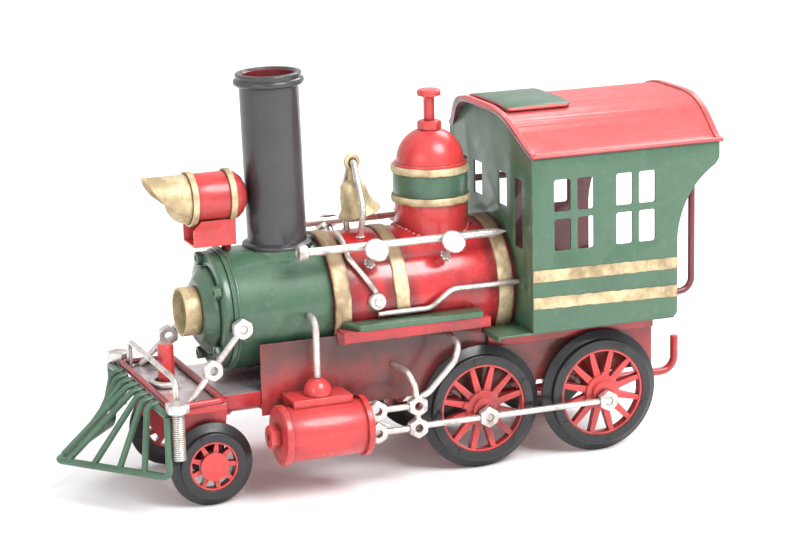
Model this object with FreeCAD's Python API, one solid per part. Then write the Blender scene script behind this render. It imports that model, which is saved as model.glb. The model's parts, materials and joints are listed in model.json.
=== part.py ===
import FreeCAD, Part
import math
import os

# Decorative sheet-metal toy locomotive, millimetres.  +X is forward, +Y is the left side, +Z is up.
# The origin is the centre of the bounding box on the rail plane, which the wheel flanges touch.

V = FreeCAD.Vector
X_DIR = V(1, 0, 0)
Y_DIR = V(0, 1, 0)
Z_DIR = V(0, 0, 1)

# ---- driving dimensions ---------------------------------------------------------------------------
CAB_FRONT_X = -47.5         # front face of the cab
CAB_LENGTH = 60.9           # cab floor, front to back
CAB_TAIL = 18.0             # how far the roof and the tops of the sides run on behind the floor
CAB_HALF_W = 40.0
CAB_EAVE_H = 66.8           # cab bottom edge to eave
CAB_RISE = 14.6             # eave to the crown of the roof
BOILER_LENGTH = 73.85
BOILER_R = 24.6
SMOKEBOX_LENGTH = 38.75
SMOKEBOX_R = 23.0
DRIVER_FLANGE_R = 24.2
DRIVER_TREAD_R = 20.9
DRIVER_GAP = 1.9            # gap between the flanges of the two driver pairs
PILOT_FLANGE_R = 15.9
PILOT_TREAD_R = 12.6
FRAME_HALF_W = 24.0
CHIMNEY_R = 11.2
CHIMNEY_H = 65.4            # top of the smokebox to the lip
CRANK_THROW = 2.0
CYLINDER_R = 10.3
CYLINDER_LENGTH = 34.4
COWCATCHER_REACH = 32.0     # from the corner posts to the tip

# ---- sheet, wire and running fits -----------------------------------------------------------------
SHEET = 0.8
AXLE_R = 1.6
RUNNING = 0.05              # radial clearance of a shaft in its hole
CLEAR = 0.4                 # gap between parts that pass each other
WIRE_R = 1.2
COW_WIRE_R = 1.35
M4_FLATS = 7.0
M4_THICK = 3.2
M4_BORE_R = 1.65
M5_FLATS = 8.0
M5_HEAD = 3.5
M5_SHANK_R = 2.5
BOLT_LENGTH = 18.0

# ---- stations and levels worked out from them ----------------------------------------------------
AXLE_Z = DRIVER_FLANGE_R
DRIVER_FRONT_X = CAB_FRONT_X + 17.3
DRIVER_REAR_X = DRIVER_FRONT_X - 2 * DRIVER_FLANGE_R - DRIVER_GAP
BOILER_FRONT_X = CAB_FRONT_X + BOILER_LENGTH
SMOKEBOX_FRONT_X = BOILER_FRONT_X + SMOKEBOX_LENGTH
FRAME_FRONT_X = SMOKEBOX_FRONT_X - 8.9
FRAME_REAR_X = min(CAB_FRONT_X - CAB_LENGTH + 3.1, DRIVER_REAR_X - 12.0)
DECK_REAR_X = SMOKEBOX_FRONT_X + 7.6
PILOT_X = SMOKEBOX_FRONT_X + 12.7
DECK_FRONT_X = SMOKEBOX_FRONT_X + 29.0
FRAME_BOTTOM_Z = AXLE_Z + 6.3
FLOOR_Z = AXLE_Z + 15.8     # top of the front deck and of the frame's floor
CAB_Z = AXLE_Z + 29.6       # underside of the cab sides
LEDGE_Z = AXLE_Z + 36.6     # shelf under the running boards
FRAME_TOP_Z = LEDGE_Z
BOILER_Z = FLOOR_Z + 2.6 + BOILER_R
EAVE_Z = CAB_Z + CAB_EAVE_H
WHEEL_BACK_Y = FRAME_HALF_W + 2.6
WHEEL_FACE_Y = WHEEL_BACK_Y + 4.8
ROD_Y = WHEEL_FACE_Y + 4.4
CROSSHEAD_Y = ROD_Y + WIRE_R + CLEAR + M4_THICK / 2
CYLINDER_Y = FRAME_HALF_W + CYLINDER_R + 1.7
CYLINDER_X = FRAME_FRONT_X - 2.0        # outer face of the front cover
PIN_Z = AXLE_Z - CRANK_THROW
BAND_R = BOILER_R + 0.9
SMOKEBOX_TOP_Z = BOILER_Z + SMOKEBOX_R


# ---- small shape helpers --------------------------------------------------------------------------
def cylinder(base, axis, radius, length):
    return Part.makeCylinder(radius, length, base, axis)


def tube(base, axis, outer, inner, length):
    return cylinder(base, axis, outer, length).cut(cylinder(base, axis, inner, length))


def box(x, y, z):
    """A box from three (low, high) pairs."""
    return Part.makeBox(x[1] - x[0], y[1] - y[0], z[1] - z[0], V(x[0], y[0], z[0]))


def plate(outline, thickness_vector):
    """A flat sheet from its closed outline, thickened along a vector."""
    return Part.Face(Part.makePolygon(outline + [outline[0]])).extrude(thickness_vector)


def revolved(profile, base, axis):
    """A turned part.  profile is a list of (radius, distance along the axis) points."""
    side = V(0, 1, 0) if abs(axis.y) < 0.5 else V(1, 0, 0)
    points = [base + side * radius + axis * along for radius, along in profile]
    return Part.Face(Part.makePolygon(points + [points[0]])).revolve(base, axis, 360)


def hexagon(centre, axis, flats, length, bore=0.0, turn=0.0):
    """A hexagonal nut or head, centred on its own length, with its corners turned down."""
    corner = flats / math.sqrt(3)
    side = V(1, 0, 0) if abs(axis.x) < 0.5 else V(0, 1, 0)
    side = (side - axis * side.dot(axis)).normalize()
    other = axis.cross(side)
    base = centre - axis * (length / 2)
    ring = []
    for n in range(6):
        angle = math.radians(60 * n + 30 + turn)
        ring.append(base + side * (corner * math.cos(angle)) + other * (corner * math.sin(angle)))
    body = plate(ring, axis * length)
    drop = (corner - flats / 2) * 0.7
    turned = [(0, 0), (flats / 2, 0), (corner, drop), (corner, length - drop), (flats / 2, length), (0, length)]
    points = [base + side * radius + axis * along for radius, along in turned]
    body = body.common(Part.Face(Part.makePolygon(points + [points[0]])).revolve(base, axis, 360))
    if bore:
        body = body.cut(cylinder(base - axis, axis, bore, length + 2))
    return body


def rod(points, radius, bend=3.0):
    """A round wire along straight runs joined by tangent arcs."""
    edges = []
    start = points[0]
    for n in range(1, len(points) - 1):
        corner = points[n]
        back = (points[n - 1] - corner)
        ahead = (points[n + 1] - corner)
        reach = min(back.Length, ahead.Length) * 0.48
        back.normalize()
        ahead.normalize()
        half = back.getAngle(ahead) / 2
        cut = min(bend / math.tan(half), reach)
        size = cut * math.tan(half)
        inward = (back + ahead).normalize()
        middle = corner + inward * (size / math.sin(half) - size)
        arc_start = corner + back * cut
        arc_end = corner + ahead * cut
        edges.append(Part.LineSegment(start, arc_start).toShape())
        edges.append(Part.Arc(arc_start, middle, arc_end).toShape())
        start = arc_end
    edges.append(Part.LineSegment(start, points[-1]).toShape())
    path = Part.Wire(edges)
    profile = Part.Wire(Part.makeCircle(radius, points[0], points[1] - points[0]))
    return path.makePipeShell([profile], True, True)


def mirrored(shape):
    """The same piece on the right side."""
    return shape.mirror(V(0, 0, 0), Y_DIR)


def both(shapes):
    return shapes + [mirrored(shape) for shape in shapes]


def around(y, z, radius, degrees):
    """The (y, z) point at an angle above the horizontal on a circle round (y, z)."""
    angle = math.radians(degrees)
    return y + radius * math.cos(angle), z + radius * math.sin(angle)


def save(name, shapes):
    for shape in shapes:
        if not shape.isValid() or shape.Volume <= 0:
            raise ValueError(name + " is not a valid solid")
    whole = shapes[0] if len(shapes) == 1 else Part.makeCompound(shapes)
    whole.exportStep("parts/" + name + ".step")


# ---- wheels ---------------------------------------------------------------------------------------
def tyre(x, z, flange, tread, inner, bumps):
    """A flanged tyre, its flange towards the frame, with moulded bumps on its face."""
    rim = WHEEL_BACK_Y + 1.3
    step = WHEEL_BACK_Y + 2.2
    profile = [(inner, 0), (flange - 0.4, 0), (flange, 0.4), (flange, rim - WHEEL_BACK_Y),
               (tread + 0.6, step - WHEEL_BACK_Y), (tread, step - WHEEL_BACK_Y + 0.2),
               (tread, WHEEL_FACE_Y - WHEEL_BACK_Y - 0.3), (tread - 0.3, WHEEL_FACE_Y - WHEEL_BACK_Y),
               (inner, WHEEL_FACE_Y - WHEEL_BACK_Y)]
    shape = revolved(profile, V(x, WHEEL_BACK_Y, z), Y_DIR)
    middle = (tread + inner) / 2
    for degrees in bumps:
        angle = math.radians(degrees)
        spot = V(x + middle * math.cos(angle), WHEEL_FACE_Y - 0.5, z + middle * math.sin(angle))
        shape = shape.fuse(cylinder(spot, Y_DIR, (tread - inner) * 0.36, 0.9))
    return shape.removeSplitter()


def spoked_centre(x, z, outer, rim, hub, spokes, hub_steps, boss_angles):
    """A spoked wheel centre: rim ring, tapered spokes, stepped hub and small bosses on the hub."""
    back = WHEEL_BACK_Y + 0.5
    face = WHEEL_FACE_Y - 0.9
    shape = tube(V(x, back, z), Y_DIR, outer, outer - rim, WHEEL_FACE_Y - 0.4 - back)
    wide = hub * 0.42
    narrow = hub * 0.27
    spoke = plate([V(hub * 0.6, back + 0.6, -wide / 2), V(outer - rim / 2, back + 0.6, -narrow / 2),
                   V(outer - rim / 2, back + 0.6, narrow / 2), V(hub * 0.6, back + 0.6, wide / 2)],
                  Y_DIR * (face - back - 0.6))
    spoke.translate(V(x, 0, z))
    for n in range(spokes):
        turned = spoke.copy()
        turned.rotate(V(x, 0, z), Y_DIR, 360.0 / spokes * (n + 0.5))
        shape = shape.fuse(turned)
    for radius, height in hub_steps:
        shape = shape.fuse(cylinder(V(x, back, z), Y_DIR, radius, WHEEL_FACE_Y + height - back))
    for degrees in boss_angles:
        angle = math.radians(degrees)
        spot = V(x + hub * math.cos(angle), back, z + hub * math.sin(angle))
        shape = shape.fuse(cylinder(spot, Y_DIR, hub * 0.2, face + 0.9 - back))
    return shape.removeSplitter()


def driver_pair(name, x, boss_angles, bumps):
    inner = DRIVER_TREAD_R - 3.6
    hub = DRIVER_TREAD_R / 3.0
    hub_steps = [(hub, 0.2), (hub * 0.68, 1.9)]
    hub_face = WHEEL_FACE_Y + 1.9
    save(name + "_tyres", both([tyre(x, AXLE_Z, DRIVER_FLANGE_R, DRIVER_TREAD_R, inner, bumps)]))
    centre = spoked_centre(x, AXLE_Z, inner, 0.9, hub, 12, hub_steps, boss_angles)
    centre = centre.cut(cylinder(V(x, 0, AXLE_Z), Y_DIR, AXLE_R, hub_face - 1.2))
    pin_base = hub_face - 1.0
    pin = cylinder(V(x, pin_base, PIN_Z), Y_DIR, M4_BORE_R - RUNNING, ROD_Y + M4_THICK / 2 - pin_base - 0.3)
    centre = centre.cut(cylinder(V(x, pin_base, PIN_Z), Y_DIR, M4_BORE_R - RUNNING, 5))
    save(name + "_centres", both([centre]))
    axle = cylinder(V(x, 1.2 - hub_face, AXLE_Z), Y_DIR, AXLE_R, 2 * (hub_face - 1.2))
    save(name + "_axle", [axle] + both([pin]))


def pilot_pair():
    inner = PILOT_TREAD_R - 3.2
    hub = PILOT_TREAD_R / 2.35
    bumps = [70]
    save("pilot_tyres", both([tyre(PILOT_X, PILOT_FLANGE_R, PILOT_FLANGE_R, PILOT_TREAD_R, inner, bumps)]))
    centre = spoked_centre(PILOT_X, PILOT_FLANGE_R, inner, 0.8, hub, 9, [(hub, 0.6)], [])
    centre = centre.cut(cylinder(V(PILOT_X, 0, PILOT_FLANGE_R), Y_DIR, AXLE_R, WHEEL_FACE_Y - 0.9))
    save("pilot_centres", both([centre]))
    ends = WHEEL_FACE_Y - 0.9
    save("pilot_axle", [cylinder(V(PILOT_X, -ends, PILOT_FLANGE_R), Y_DIR, AXLE_R, 2 * ends)])


def side_rod(name, side):
    """The coupling rod with its two nuts; its front end floats behind the lower crosshead nut."""
    nuts = []
    for x in (DRIVER_FRONT_X, DRIVER_REAR_X):
        nuts.append(hexagon(V(x, ROD_Y, PIN_Z), Y_DIR, M4_FLATS, M4_THICK, M4_BORE_R))
    front_end = CROSSHEAD_REAR_X + 1.2
    half = M4_FLATS / 2
    spans = [(DRIVER_REAR_X + half, DRIVER_FRONT_X - half), (DRIVER_FRONT_X + half, front_end)]
    bars = [cylinder(V(low, ROD_Y, PIN_Z), X_DIR, WIRE_R, high - low) for low, high in spans]
    shapes = nuts + bars
    save(name, shapes if side > 0 else [mirrored(shape) for shape in shapes])


# ---- frame ----------------------------------------------------------------------------------------
def boiler_space():
    """The room that the barrel and its bands take up between the side panels."""
    return cylinder(V(CAB_FRONT_X - 10, 0, BOILER_Z), X_DIR, BAND_R + 0.2, BOILER_LENGTH + 10.5)


def frame_sides():
    """The two side panels, with a hanger round each driving axle."""
    outline = [V(FRAME_REAR_X, 0, FRAME_BOTTOM_Z), V(FRAME_FRONT_X, 0, FRAME_BOTTOM_Z),
               V(FRAME_FRONT_X, 0, FRAME_TOP_Z - 3.0), V(LEDGE_FRONT_X, 0, FRAME_TOP_Z - 3.0),
               V(LEDGE_FRONT_X, 0, FRAME_TOP_Z - SHEET), V(LEDGE_REAR_X, 0, FRAME_TOP_Z - SHEET),
               V(LEDGE_REAR_X, 0, CAB_Z - SHEET), V(FRAME_REAR_X, 0, CAB_Z - SHEET)]
    panel = plate([point + V(0, FRAME_HALF_W - SHEET, 0) for point in outline], Y_DIR * SHEET)
    for x in (DRIVER_FRONT_X, DRIVER_REAR_X):
        hanger = plate([V(x - 7, 0, FRAME_BOTTOM_Z), V(x - 4, 0, AXLE_Z - 4), V(x + 4, 0, AXLE_Z - 4),
                        V(x + 7, 0, FRAME_BOTTOM_Z)], Y_DIR * SHEET)
        hanger.translate(V(0, FRAME_HALF_W - SHEET, 0))
        panel = panel.fuse(hanger)
        panel = panel.cut(cylinder(V(x, 0, AXLE_Z), Y_DIR, AXLE_R + RUNNING, FRAME_HALF_W + 1))
    panel = panel.cut(boiler_space())
    save("frame_sides", both([panel.removeSplitter()]))


def frame_floor():
    """One long bent plate: the floor between the side panels, the neck and the wider front deck."""
    inside = FRAME_HALF_W - SHEET
    floor_y = (-inside, inside)
    deck_y = (-DECK_HALF_W, DECK_HALF_W)
    level = (FLOOR_Z - SHEET, FLOOR_Z)
    shape = box((FRAME_REAR_X + 1, DECK_REAR_X), floor_y, level)
    shape = shape.fuse(box((DECK_REAR_X, DECK_FRONT_X), deck_y, level))
    neck = box((FRAME_FRONT_X, PILOT_X - 8.4), (inside - SHEET, inside), (FLOOR_Z - 5.5, FLOOR_Z - SHEET))
    skirt = box((DECK_REAR_X, DECK_FRONT_X), (DECK_HALF_W - SHEET, DECK_HALF_W), (FLOOR_Z - 2.6, FLOOR_Z - SHEET))
    shape = shape.fuse(both([neck, skirt])).removeSplitter()
    save("front_deck_and_floor", [shape])


def frame_crossmembers():
    """Plates between the side panels, and the two cradles that the boiler rests on."""
    inside = FRAME_HALF_W - SHEET
    shapes = []
    for x in (FRAME_FRONT_X - 3.0, FRAME_REAR_X + 2.0):
        shapes.append(box((x, x + SHEET), (-inside, inside), (FRAME_BOTTOM_Z, FLOOR_Z - SHEET)))
    for x in (BOILER_FRONT_X - 14.0, CAB_FRONT_X + 8.0):
        cradle = box((x, x + 1.2), (-inside, inside), (FLOOR_Z, FLOOR_Z + 7.0))
        shapes.append(cradle.cut(cylinder(V(x - 1, 0, BOILER_Z), X_DIR, BOILER_R, 4)))
    save("frame_crossmembers", shapes)


def drawbar():
    """The long rod under the axles, hooked up behind, with its two hangers."""
    radius = 1.6
    level = AXLE_Z - AXLE_R - radius - 1.4
    front = CROSSHEAD_REAR_X - 2.0
    tail = CAB_FRONT_X - CAB_LENGTH - CAB_TAIL - ROOF_HEM
    hook = rod([V(front, 0, level), V(tail, 0, level), V(tail, 0, level + 14.4)], radius, bend=6.0)
    shapes = [hook]
    for x in (front - 2.4, FRAME_REAR_X + 8.0):
        hanger = box((x, x + 2.0), (-3.0, 3.0), (level + radius * 0.8, FLOOR_Z - SHEET))
        shapes.append(hanger.cut(hook))
    save("drawbar_hook", shapes)


def pilot_bracket():
    """The bent sheet under the deck that carries the pilot axle."""
    top = FLOOR_Z - SHEET
    y = PILOT_CHEEK_Y
    cheek = plate([V(PILOT_X - 8, y, top - SHEET), V(PILOT_X - 5, y, PILOT_FLANGE_R - 4),
                   V(PILOT_X + 5, y, PILOT_FLANGE_R - 4), V(PILOT_X + 14, y, top - 13),
                   V(PILOT_X + 15, y, top - SHEET)], Y_DIR * SHEET)
    cheek = cheek.cut(cylinder(V(PILOT_X, 0, PILOT_FLANGE_R), Y_DIR, AXLE_R + RUNNING, y + 2))
    roof = box((PILOT_X - 8, PILOT_X + 15), (-y - SHEET, y + SHEET), (top - SHEET, top))
    save("pilot_bracket", [roof.fuse(both([cheek])).removeSplitter()])


def deck_rods():
    """The rod frame that edges the front deck, the front corners out beside the bolts."""
    level = FLOOR_Z + WIRE_R
    wide = BOLT_Y - M5_FLATS / 2 - WIRE_R - 0.1
    front = BOLT_X + 0.5
    rear = DECK_REAR_X + WIRE_R
    half = rod([V(rear, 0, level), V(rear, DECK_HALF_W - 1, level), V(front, wide, level), V(front, 0, level)],
               WIRE_R, bend=2.0)
    save("deck_rods", [half.fuse(mirrored(half)).removeSplitter()])


def handrail():
    level = FLOOR_Z
    x = BOLT_X - 2.1
    half = BOLT_Y - 8.3
    points = [V(x, half, level - 0.5), V(x, half - 0.5, level + 10.4), V(x, 0.5 - half, level + 10.4),
              V(x, -half, level - 0.5)]
    rail = rod(points, 1.15, bend=4.0)
    save("front_handrail", [keep_highest(rail.cut(box((x - 9, x + 9), (-90, 90), (level - 9, level))))])


def coupling_post():
    """A plain pin standing on the deck, and the open link lying round its foot."""
    x = BOLT_X - 7.6
    pin = revolved([(0, 0), (3.1, 0), (3.1, 15.4), (2.6, 15.9), (0, 15.9)], V(x, 0, FLOOR_Z), Z_DIR)
    level = FLOOR_Z + 1.3
    ring = Part.makeTorus(5.4, 1.3, V(x, 0, level), Z_DIR)
    ring = ring.cut(box((x - 9, x - 1.5), (-9, 9), (level - 3, level + 3)))
    save("coupling_post", [pin])
    save("coupling_link", [ring])


def cowcatcher():
    """Bent wire: corner posts down to a V, a bar across the top and slanted bars between."""
    low = COW_LOW_Z
    high = FLOOR_Z + 0.8 - COW_WIRE_R
    tip_x = POST_X + COWCATCHER_REACH
    outline = rod([V(POST_X, POST_Y, high), V(POST_X, POST_Y, low), V(tip_x, 0, low),
                   V(POST_X, -POST_Y, low), V(POST_X, -POST_Y, high)], COW_WIRE_R, bend=3.0)
    top_bar = rod([V(POST_X, POST_Y, high), V(POST_X, -POST_Y, high)], COW_WIRE_R)
    frame = outline.fuse(top_bar).removeSplitter()
    bars = []
    for foot, head in ((0.10, 0.09), (0.33, 0.27), (0.56, 0.45), (0.78, 0.63)):
        start = V(tip_x - COWCATCHER_REACH * foot, POST_Y * foot, low + 0.6)
        bend = V(POST_X + 3.4, POST_Y * head, high + 0.4)
        end = V(POST_X - 1.0, POST_Y * head, high + 1.3)
        bar = rod([start, bend, end], COW_WIRE_R * 0.9, bend=2.2)
        bars.append(bar.cut(outline).cut(top_bar))
    save("cowcatcher", [frame] + both([keep_largest(bar) for bar in bars]))


def keep_largest(shape):
    return max(shape.Solids, key=lambda solid: solid.Volume)


def front_bolts():
    """Two hexagon bolts hanging head up at the deck's front corners."""
    head_z = FLOOR_Z + 0.8
    shank = revolved([(0, 0), (M5_SHANK_R - 0.4, 0), (M5_SHANK_R, 0.4), (M5_SHANK_R, BOLT_LENGTH), (0, BOLT_LENGTH)],
                     V(BOLT_X, BOLT_Y, head_z - BOLT_LENGTH), Z_DIR)
    head = hexagon(V(BOLT_X, BOLT_Y, head_z + M5_HEAD / 2), Z_DIR, M5_FLATS, M5_HEAD, turn=30)
    save("front_bolts", both([shank.fuse(head).removeSplitter()]))


def front_braces():
    """Two-piece stays from the deck to the sides of the smokebox, with a nut in the middle and a nut on top."""
    foot = V(BOLT_X - 6.0, DECK_HALF_W - 2.5, FLOOR_Z)
    top = V(SMOKEBOX_FRONT_X - 1.9, SMOKEBOX_R + 0.7 + M4_THICK / 2, BOILER_Z - 2.0)
    run = top - foot
    middle = foot + run * 0.46
    half = M4_FLATS / 2 - 0.15
    along = V(run.x, run.y, run.z).normalize()
    side = along.cross(Y_DIR).normalize()
    nut_axis = side.cross(along).normalize()
    shapes = []
    for centre, axis in ((middle, nut_axis), (top, Y_DIR)):
        shapes.append(hexagon(centre, axis, M4_FLATS, M4_THICK, M4_BORE_R))
    lower = cylinder(foot + V(0, 0, 0), along, WIRE_R, (middle - foot).Length - 1.7)
    upper = cylinder(middle + along * 1.7, along, WIRE_R, (top - middle).Length - 3.4)
    for bar in (lower, upper):
        bar = bar.cut(box((-200, 200), (-200, 200), (FLOOR_Z - 20, FLOOR_Z)))
        shapes.append(bar.cut(shapes[0]).cut(shapes[1]))
    stud = cylinder(top - Y_DIR * (M4_THICK / 2), Y_DIR, M4_BORE_R, M4_THICK - 0.4)
    shapes.append(stud)
    solids = [keep_largest(shape) for shape in shapes]
    save("front_braces", both(solids))


# ---- smokebox and boiler --------------------------------------------------------------------------
def smokebox():
    rear = BOILER_FRONT_X - 6.0
    shell = tube(V(rear, 0, BOILER_Z), X_DIR, SMOKEBOX_R, SMOKEBOX_R - SHEET, SMOKEBOX_FRONT_X - rear)
    bead = Part.makeTorus(SMOKEBOX_R, 0.7, V(SMOKEBOX_FRONT_X - 2.2, 0, BOILER_Z), X_DIR)
    shell = shell.fuse(bead.cut(cylinder(V(rear, 0, BOILER_Z), X_DIR, SMOKEBOX_R - 0.4, 60)))
    saddle = cylinder(V(CHIMNEY_X, 0, BOILER_Z), Z_DIR, CHIMNEY_R + 1.8, SMOKEBOX_R - 0.9)
    saddle = saddle.cut(cylinder(V(rear - 9, 0, BOILER_Z), X_DIR, SMOKEBOX_R - 0.3, 99))
    save("smokebox_shell", [shell.fuse(saddle).removeSplitter()])
    back = V(SMOKEBOX_FRONT_X, 0, BOILER_Z)
    front_r = SMOKEBOX_R - 0.7
    front = revolved([(0, 0), (front_r, 0), (front_r, 2.6), (front_r - 1.2, 3.6), (DOOR_R + 0.5, 3.6), (DOOR_R, 2.6), (0, 2.6)],
                     back, X_DIR)
    save("smokebox_front", [front])
    door = revolved([(0, 2.6), (DOOR_R - 0.4, 2.6), (DOOR_R - 0.4, 4.2), (DOOR_R - 1.6, 5.8),
                     (DOOR_R * 0.74, 7.6), (DOOR_R * 0.70, 8.2), (0, 8.2)], back, X_DIR)
    save("smokebox_door", [door])
    nuts = []
    for n in range(5):
        y, z = around(0, BOILER_Z, (front_r + DOOR_R) / 2, 104 - 72 * n)
        nuts.append(hexagon(V(SMOKEBOX_FRONT_X + 3.6 + 1.2, y, z), X_DIR, 4.6, 2.4, 1.0, turn=17 * n))
    save("door_nuts", nuts)
    ring_back = V(SMOKEBOX_FRONT_X + 8.2, 0, BOILER_Z + 0.4)
    save("door_ring", [tube(ring_back, X_DIR, 9.3, 8.4, 6.4)])


def boiler():
    """The boiler barrel: a rolled sheet over the smokebox's spigot, with its front edge closed in."""
    start = V(CAB_FRONT_X, 0, BOILER_Z)
    wall = BOILER_R - SMOKEBOX_R
    barrel = tube(start, X_DIR, BOILER_R, BOILER_R - wall, BOILER_LENGTH)
    save("boiler_shell", [barrel])
    bands = []
    for x, width in ((BOILER_FRONT_X - 6.3, 6.3), (BOILER_FRONT_X - 30.0, 5.6), (CAB_FRONT_X + 1.4, 6.2)):
        bands.append(tube(V(x, 0, BOILER_Z), X_DIR, BAND_R, BOILER_R, width))
    save("boiler_bands", bands)


def chimney():
    base_z = BOILER_Z
    foot = V(CHIMNEY_X, 0, base_z)
    top = SMOKEBOX_R + CHIMNEY_H
    barrel = cylinder(foot, Z_DIR, CHIMNEY_R, top).cut(cylinder(foot - Z_DIR, Z_DIR, CHIMNEY_R - 0.9, top + 2))
    lip = revolved([(CHIMNEY_R, top - 4.4), (CHIMNEY_R + 1.2, top - 4.2), (CHIMNEY_R + 2.2, top - 3.2),
                    (CHIMNEY_R + 2.2, top - 2.2), (CHIMNEY_R + 1.1, top - 1.4), (CHIMNEY_R + 1.4, top - 0.7),
                    (CHIMNEY_R + 0.9, top), (CHIMNEY_R, top)], foot, Z_DIR)
    whole = cylinder(foot, Z_DIR, CHIMNEY_R, top)
    for shape in (barrel, lip, whole):
        shape.rotate(V(CHIMNEY_X, 0, SMOKEBOX_TOP_Z), Y_DIR, CHIMNEY_LEAN)
    low = SMOKEBOX_R - 0.9
    collar = revolved([(0, low), (CHIMNEY_R + 1.9, low), (CHIMNEY_R + 2.2, low + 0.6), (CHIMNEY_R + 2.0, low + 1.8),
                       (CHIMNEY_R + 1.0, low + 2.2), (0, low + 2.2)], foot, Z_DIR).cut(whole)
    shell = cylinder(V(CHIMNEY_X - 40, 0, BOILER_Z), X_DIR, SMOKEBOX_R, 80)
    shell = shell.fuse(box((CHIMNEY_X - 30, CHIMNEY_X + 30), (-30, 30), (BOILER_Z, BOILER_Z + low)))
    save("chimney_tube", [keep_highest(barrel.cut(shell))])
    save("chimney_rings", [lip, keep_highest(collar.cut(shell))])


def keep_highest(shape):
    return max(shape.Solids, key=lambda solid: solid.BoundBox.ZMax)


def lamp():
    """The headlamp: a drum with a dished back, two bands, a scoop hood, a lens and a folded bracket."""
    drum_r = 9.4
    length = 17.0
    rear = SMOKEBOX_FRONT_X - 7.3
    z = SMOKEBOX_TOP_Z + 20.1
    drum = revolved([(0, -5.6), (4.5, -5.0), (7.2, -3.5), (8.8, -1.6), (drum_r, 0), (drum_r, length), (0, length)],
                    V(rear, 0, z), X_DIR)
    save("lamp_body", [drum])
    bands = [tube(V(rear + at, 0, z), X_DIR, drum_r + 0.9, drum_r, 2.4) for at in (0.3, length - 1.9)]
    save("lamp_bands", bands)
    front = rear + length + 0.5
    hood = tube(V(front, 0, z), X_DIR, drum_r, drum_r - SHEET, 18.4)
    lip_line = [(-1.5, -6.2), (5.6, -3.6), (10.9, 0.7), (14.1, 5.0), (15.8, 8.2), (17.0, drum_r + 2.0)]
    below = [V(front + along, 0, z + up) for along, up in lip_line]
    below += [V(front + 40, 0, z + drum_r + 2.0), V(front + 40, 0, z - 20), V(front - 1.5, 0, z - 20)]
    cutter = plate(below, Y_DIR * 60)
    cutter.translate(V(0, -30, 0))
    hood = keep_largest(hood.cut(cutter))
    save("lamp_hood", [hood])
    lens_r = drum_r - 1.1
    ball = Part.makeSphere(lens_r, V(front - 0.3, 0, z - 1.0)).common(
        box((front - 0.5, front + 20), (-20, 20), (z - 20, z + 20)))
    save("lamp_lens", [keep_largest(ball.cut(hood))])
    low = SMOKEBOX_TOP_Z + 2.8
    x_low = rear + 0.6
    x_high = x_low + 16.4
    cheek = plate([V(x_low, 6.2, low), V(x_high, 6.2, low), V(x_high, 6.2, low + 6.3), V(x_high - 3.4, 6.2, low + 10.2),
                   V(x_low, 6.2, low + 10.2)], Y_DIR * SHEET)
    bottom = box((x_low, x_high), (-6.2, 6.2), (low, low + SHEET))
    bracket = bottom.fuse(both([cheek])).cut(cylinder(V(x_low - 20, 0, z), X_DIR, drum_r + 0.9, 60))
    foot = cylinder(V(x_low + 1.9, 0, SMOKEBOX_TOP_Z - 1), Z_DIR, 1.8, low - SMOKEBOX_TOP_Z + 1)
    foot = foot.cut(cylinder(V(x_low - 20, 0, BOILER_Z), X_DIR, SMOKEBOX_R, 60))
    bracket = bracket.fuse(keep_highest(foot)).removeSplitter()
    save("lamp_bracket", [bracket])


def dome():
    """The steam dome: a drum saddled on the boiler, a belt between two bands, a round cap and a valve on top."""
    foot = V(DOME_X, 0, BOILER_Z)
    drum = cylinder(foot, Z_DIR, DOME_R, DOME_CAP_Z - BOILER_Z).cut(
        cylinder(V(DOME_X - 40, 0, BOILER_Z), X_DIR, BOILER_R, 80))
    save("dome_drum", [keep_highest(drum)])
    belt = tube(V(DOME_X, 0, DOME_CAP_Z - 12.4), Z_DIR, DOME_R + 0.5, DOME_R, 8.6)
    save("dome_belt", [belt])
    bands = []
    for z in (DOME_CAP_Z - 3.8, DOME_CAP_Z - 15.2):
        bands.append(tube(V(DOME_X, 0, z), Z_DIR, DOME_R + 1.3, DOME_R, 2.8))
    save("dome_bands", bands)
    cap_r = DOME_R - 0.9
    cap = Part.makeSphere(cap_r, V(DOME_X, 0, DOME_CAP_Z)).common(
        box((DOME_X - 20, DOME_X + 20), (-20, 20), (DOME_CAP_Z, DOME_CAP_Z + 20)))
    level = DOME_CAP_Z + cap_r - 1.0
    cap = cap.common(box((DOME_X - 20, DOME_X + 20), (-20, 20), (DOME_CAP_Z - 1, level)))
    save("dome_cap", [cap])
    nut = hexagon(V(DOME_X, 0, level + 1.75), Z_DIR, 8.0, 3.5, turn=12)
    stem = revolved([(0, 0), (2.1, 0), (2.1, 8.6), (2.6, 9.2), (4.6, 9.8), (4.6, 11.4), (4.0, 12.0), (0, 12.0)],
                    V(DOME_X, 0, level + 3.5), Z_DIR)
    save("dome_valve", [nut, stem])


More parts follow.
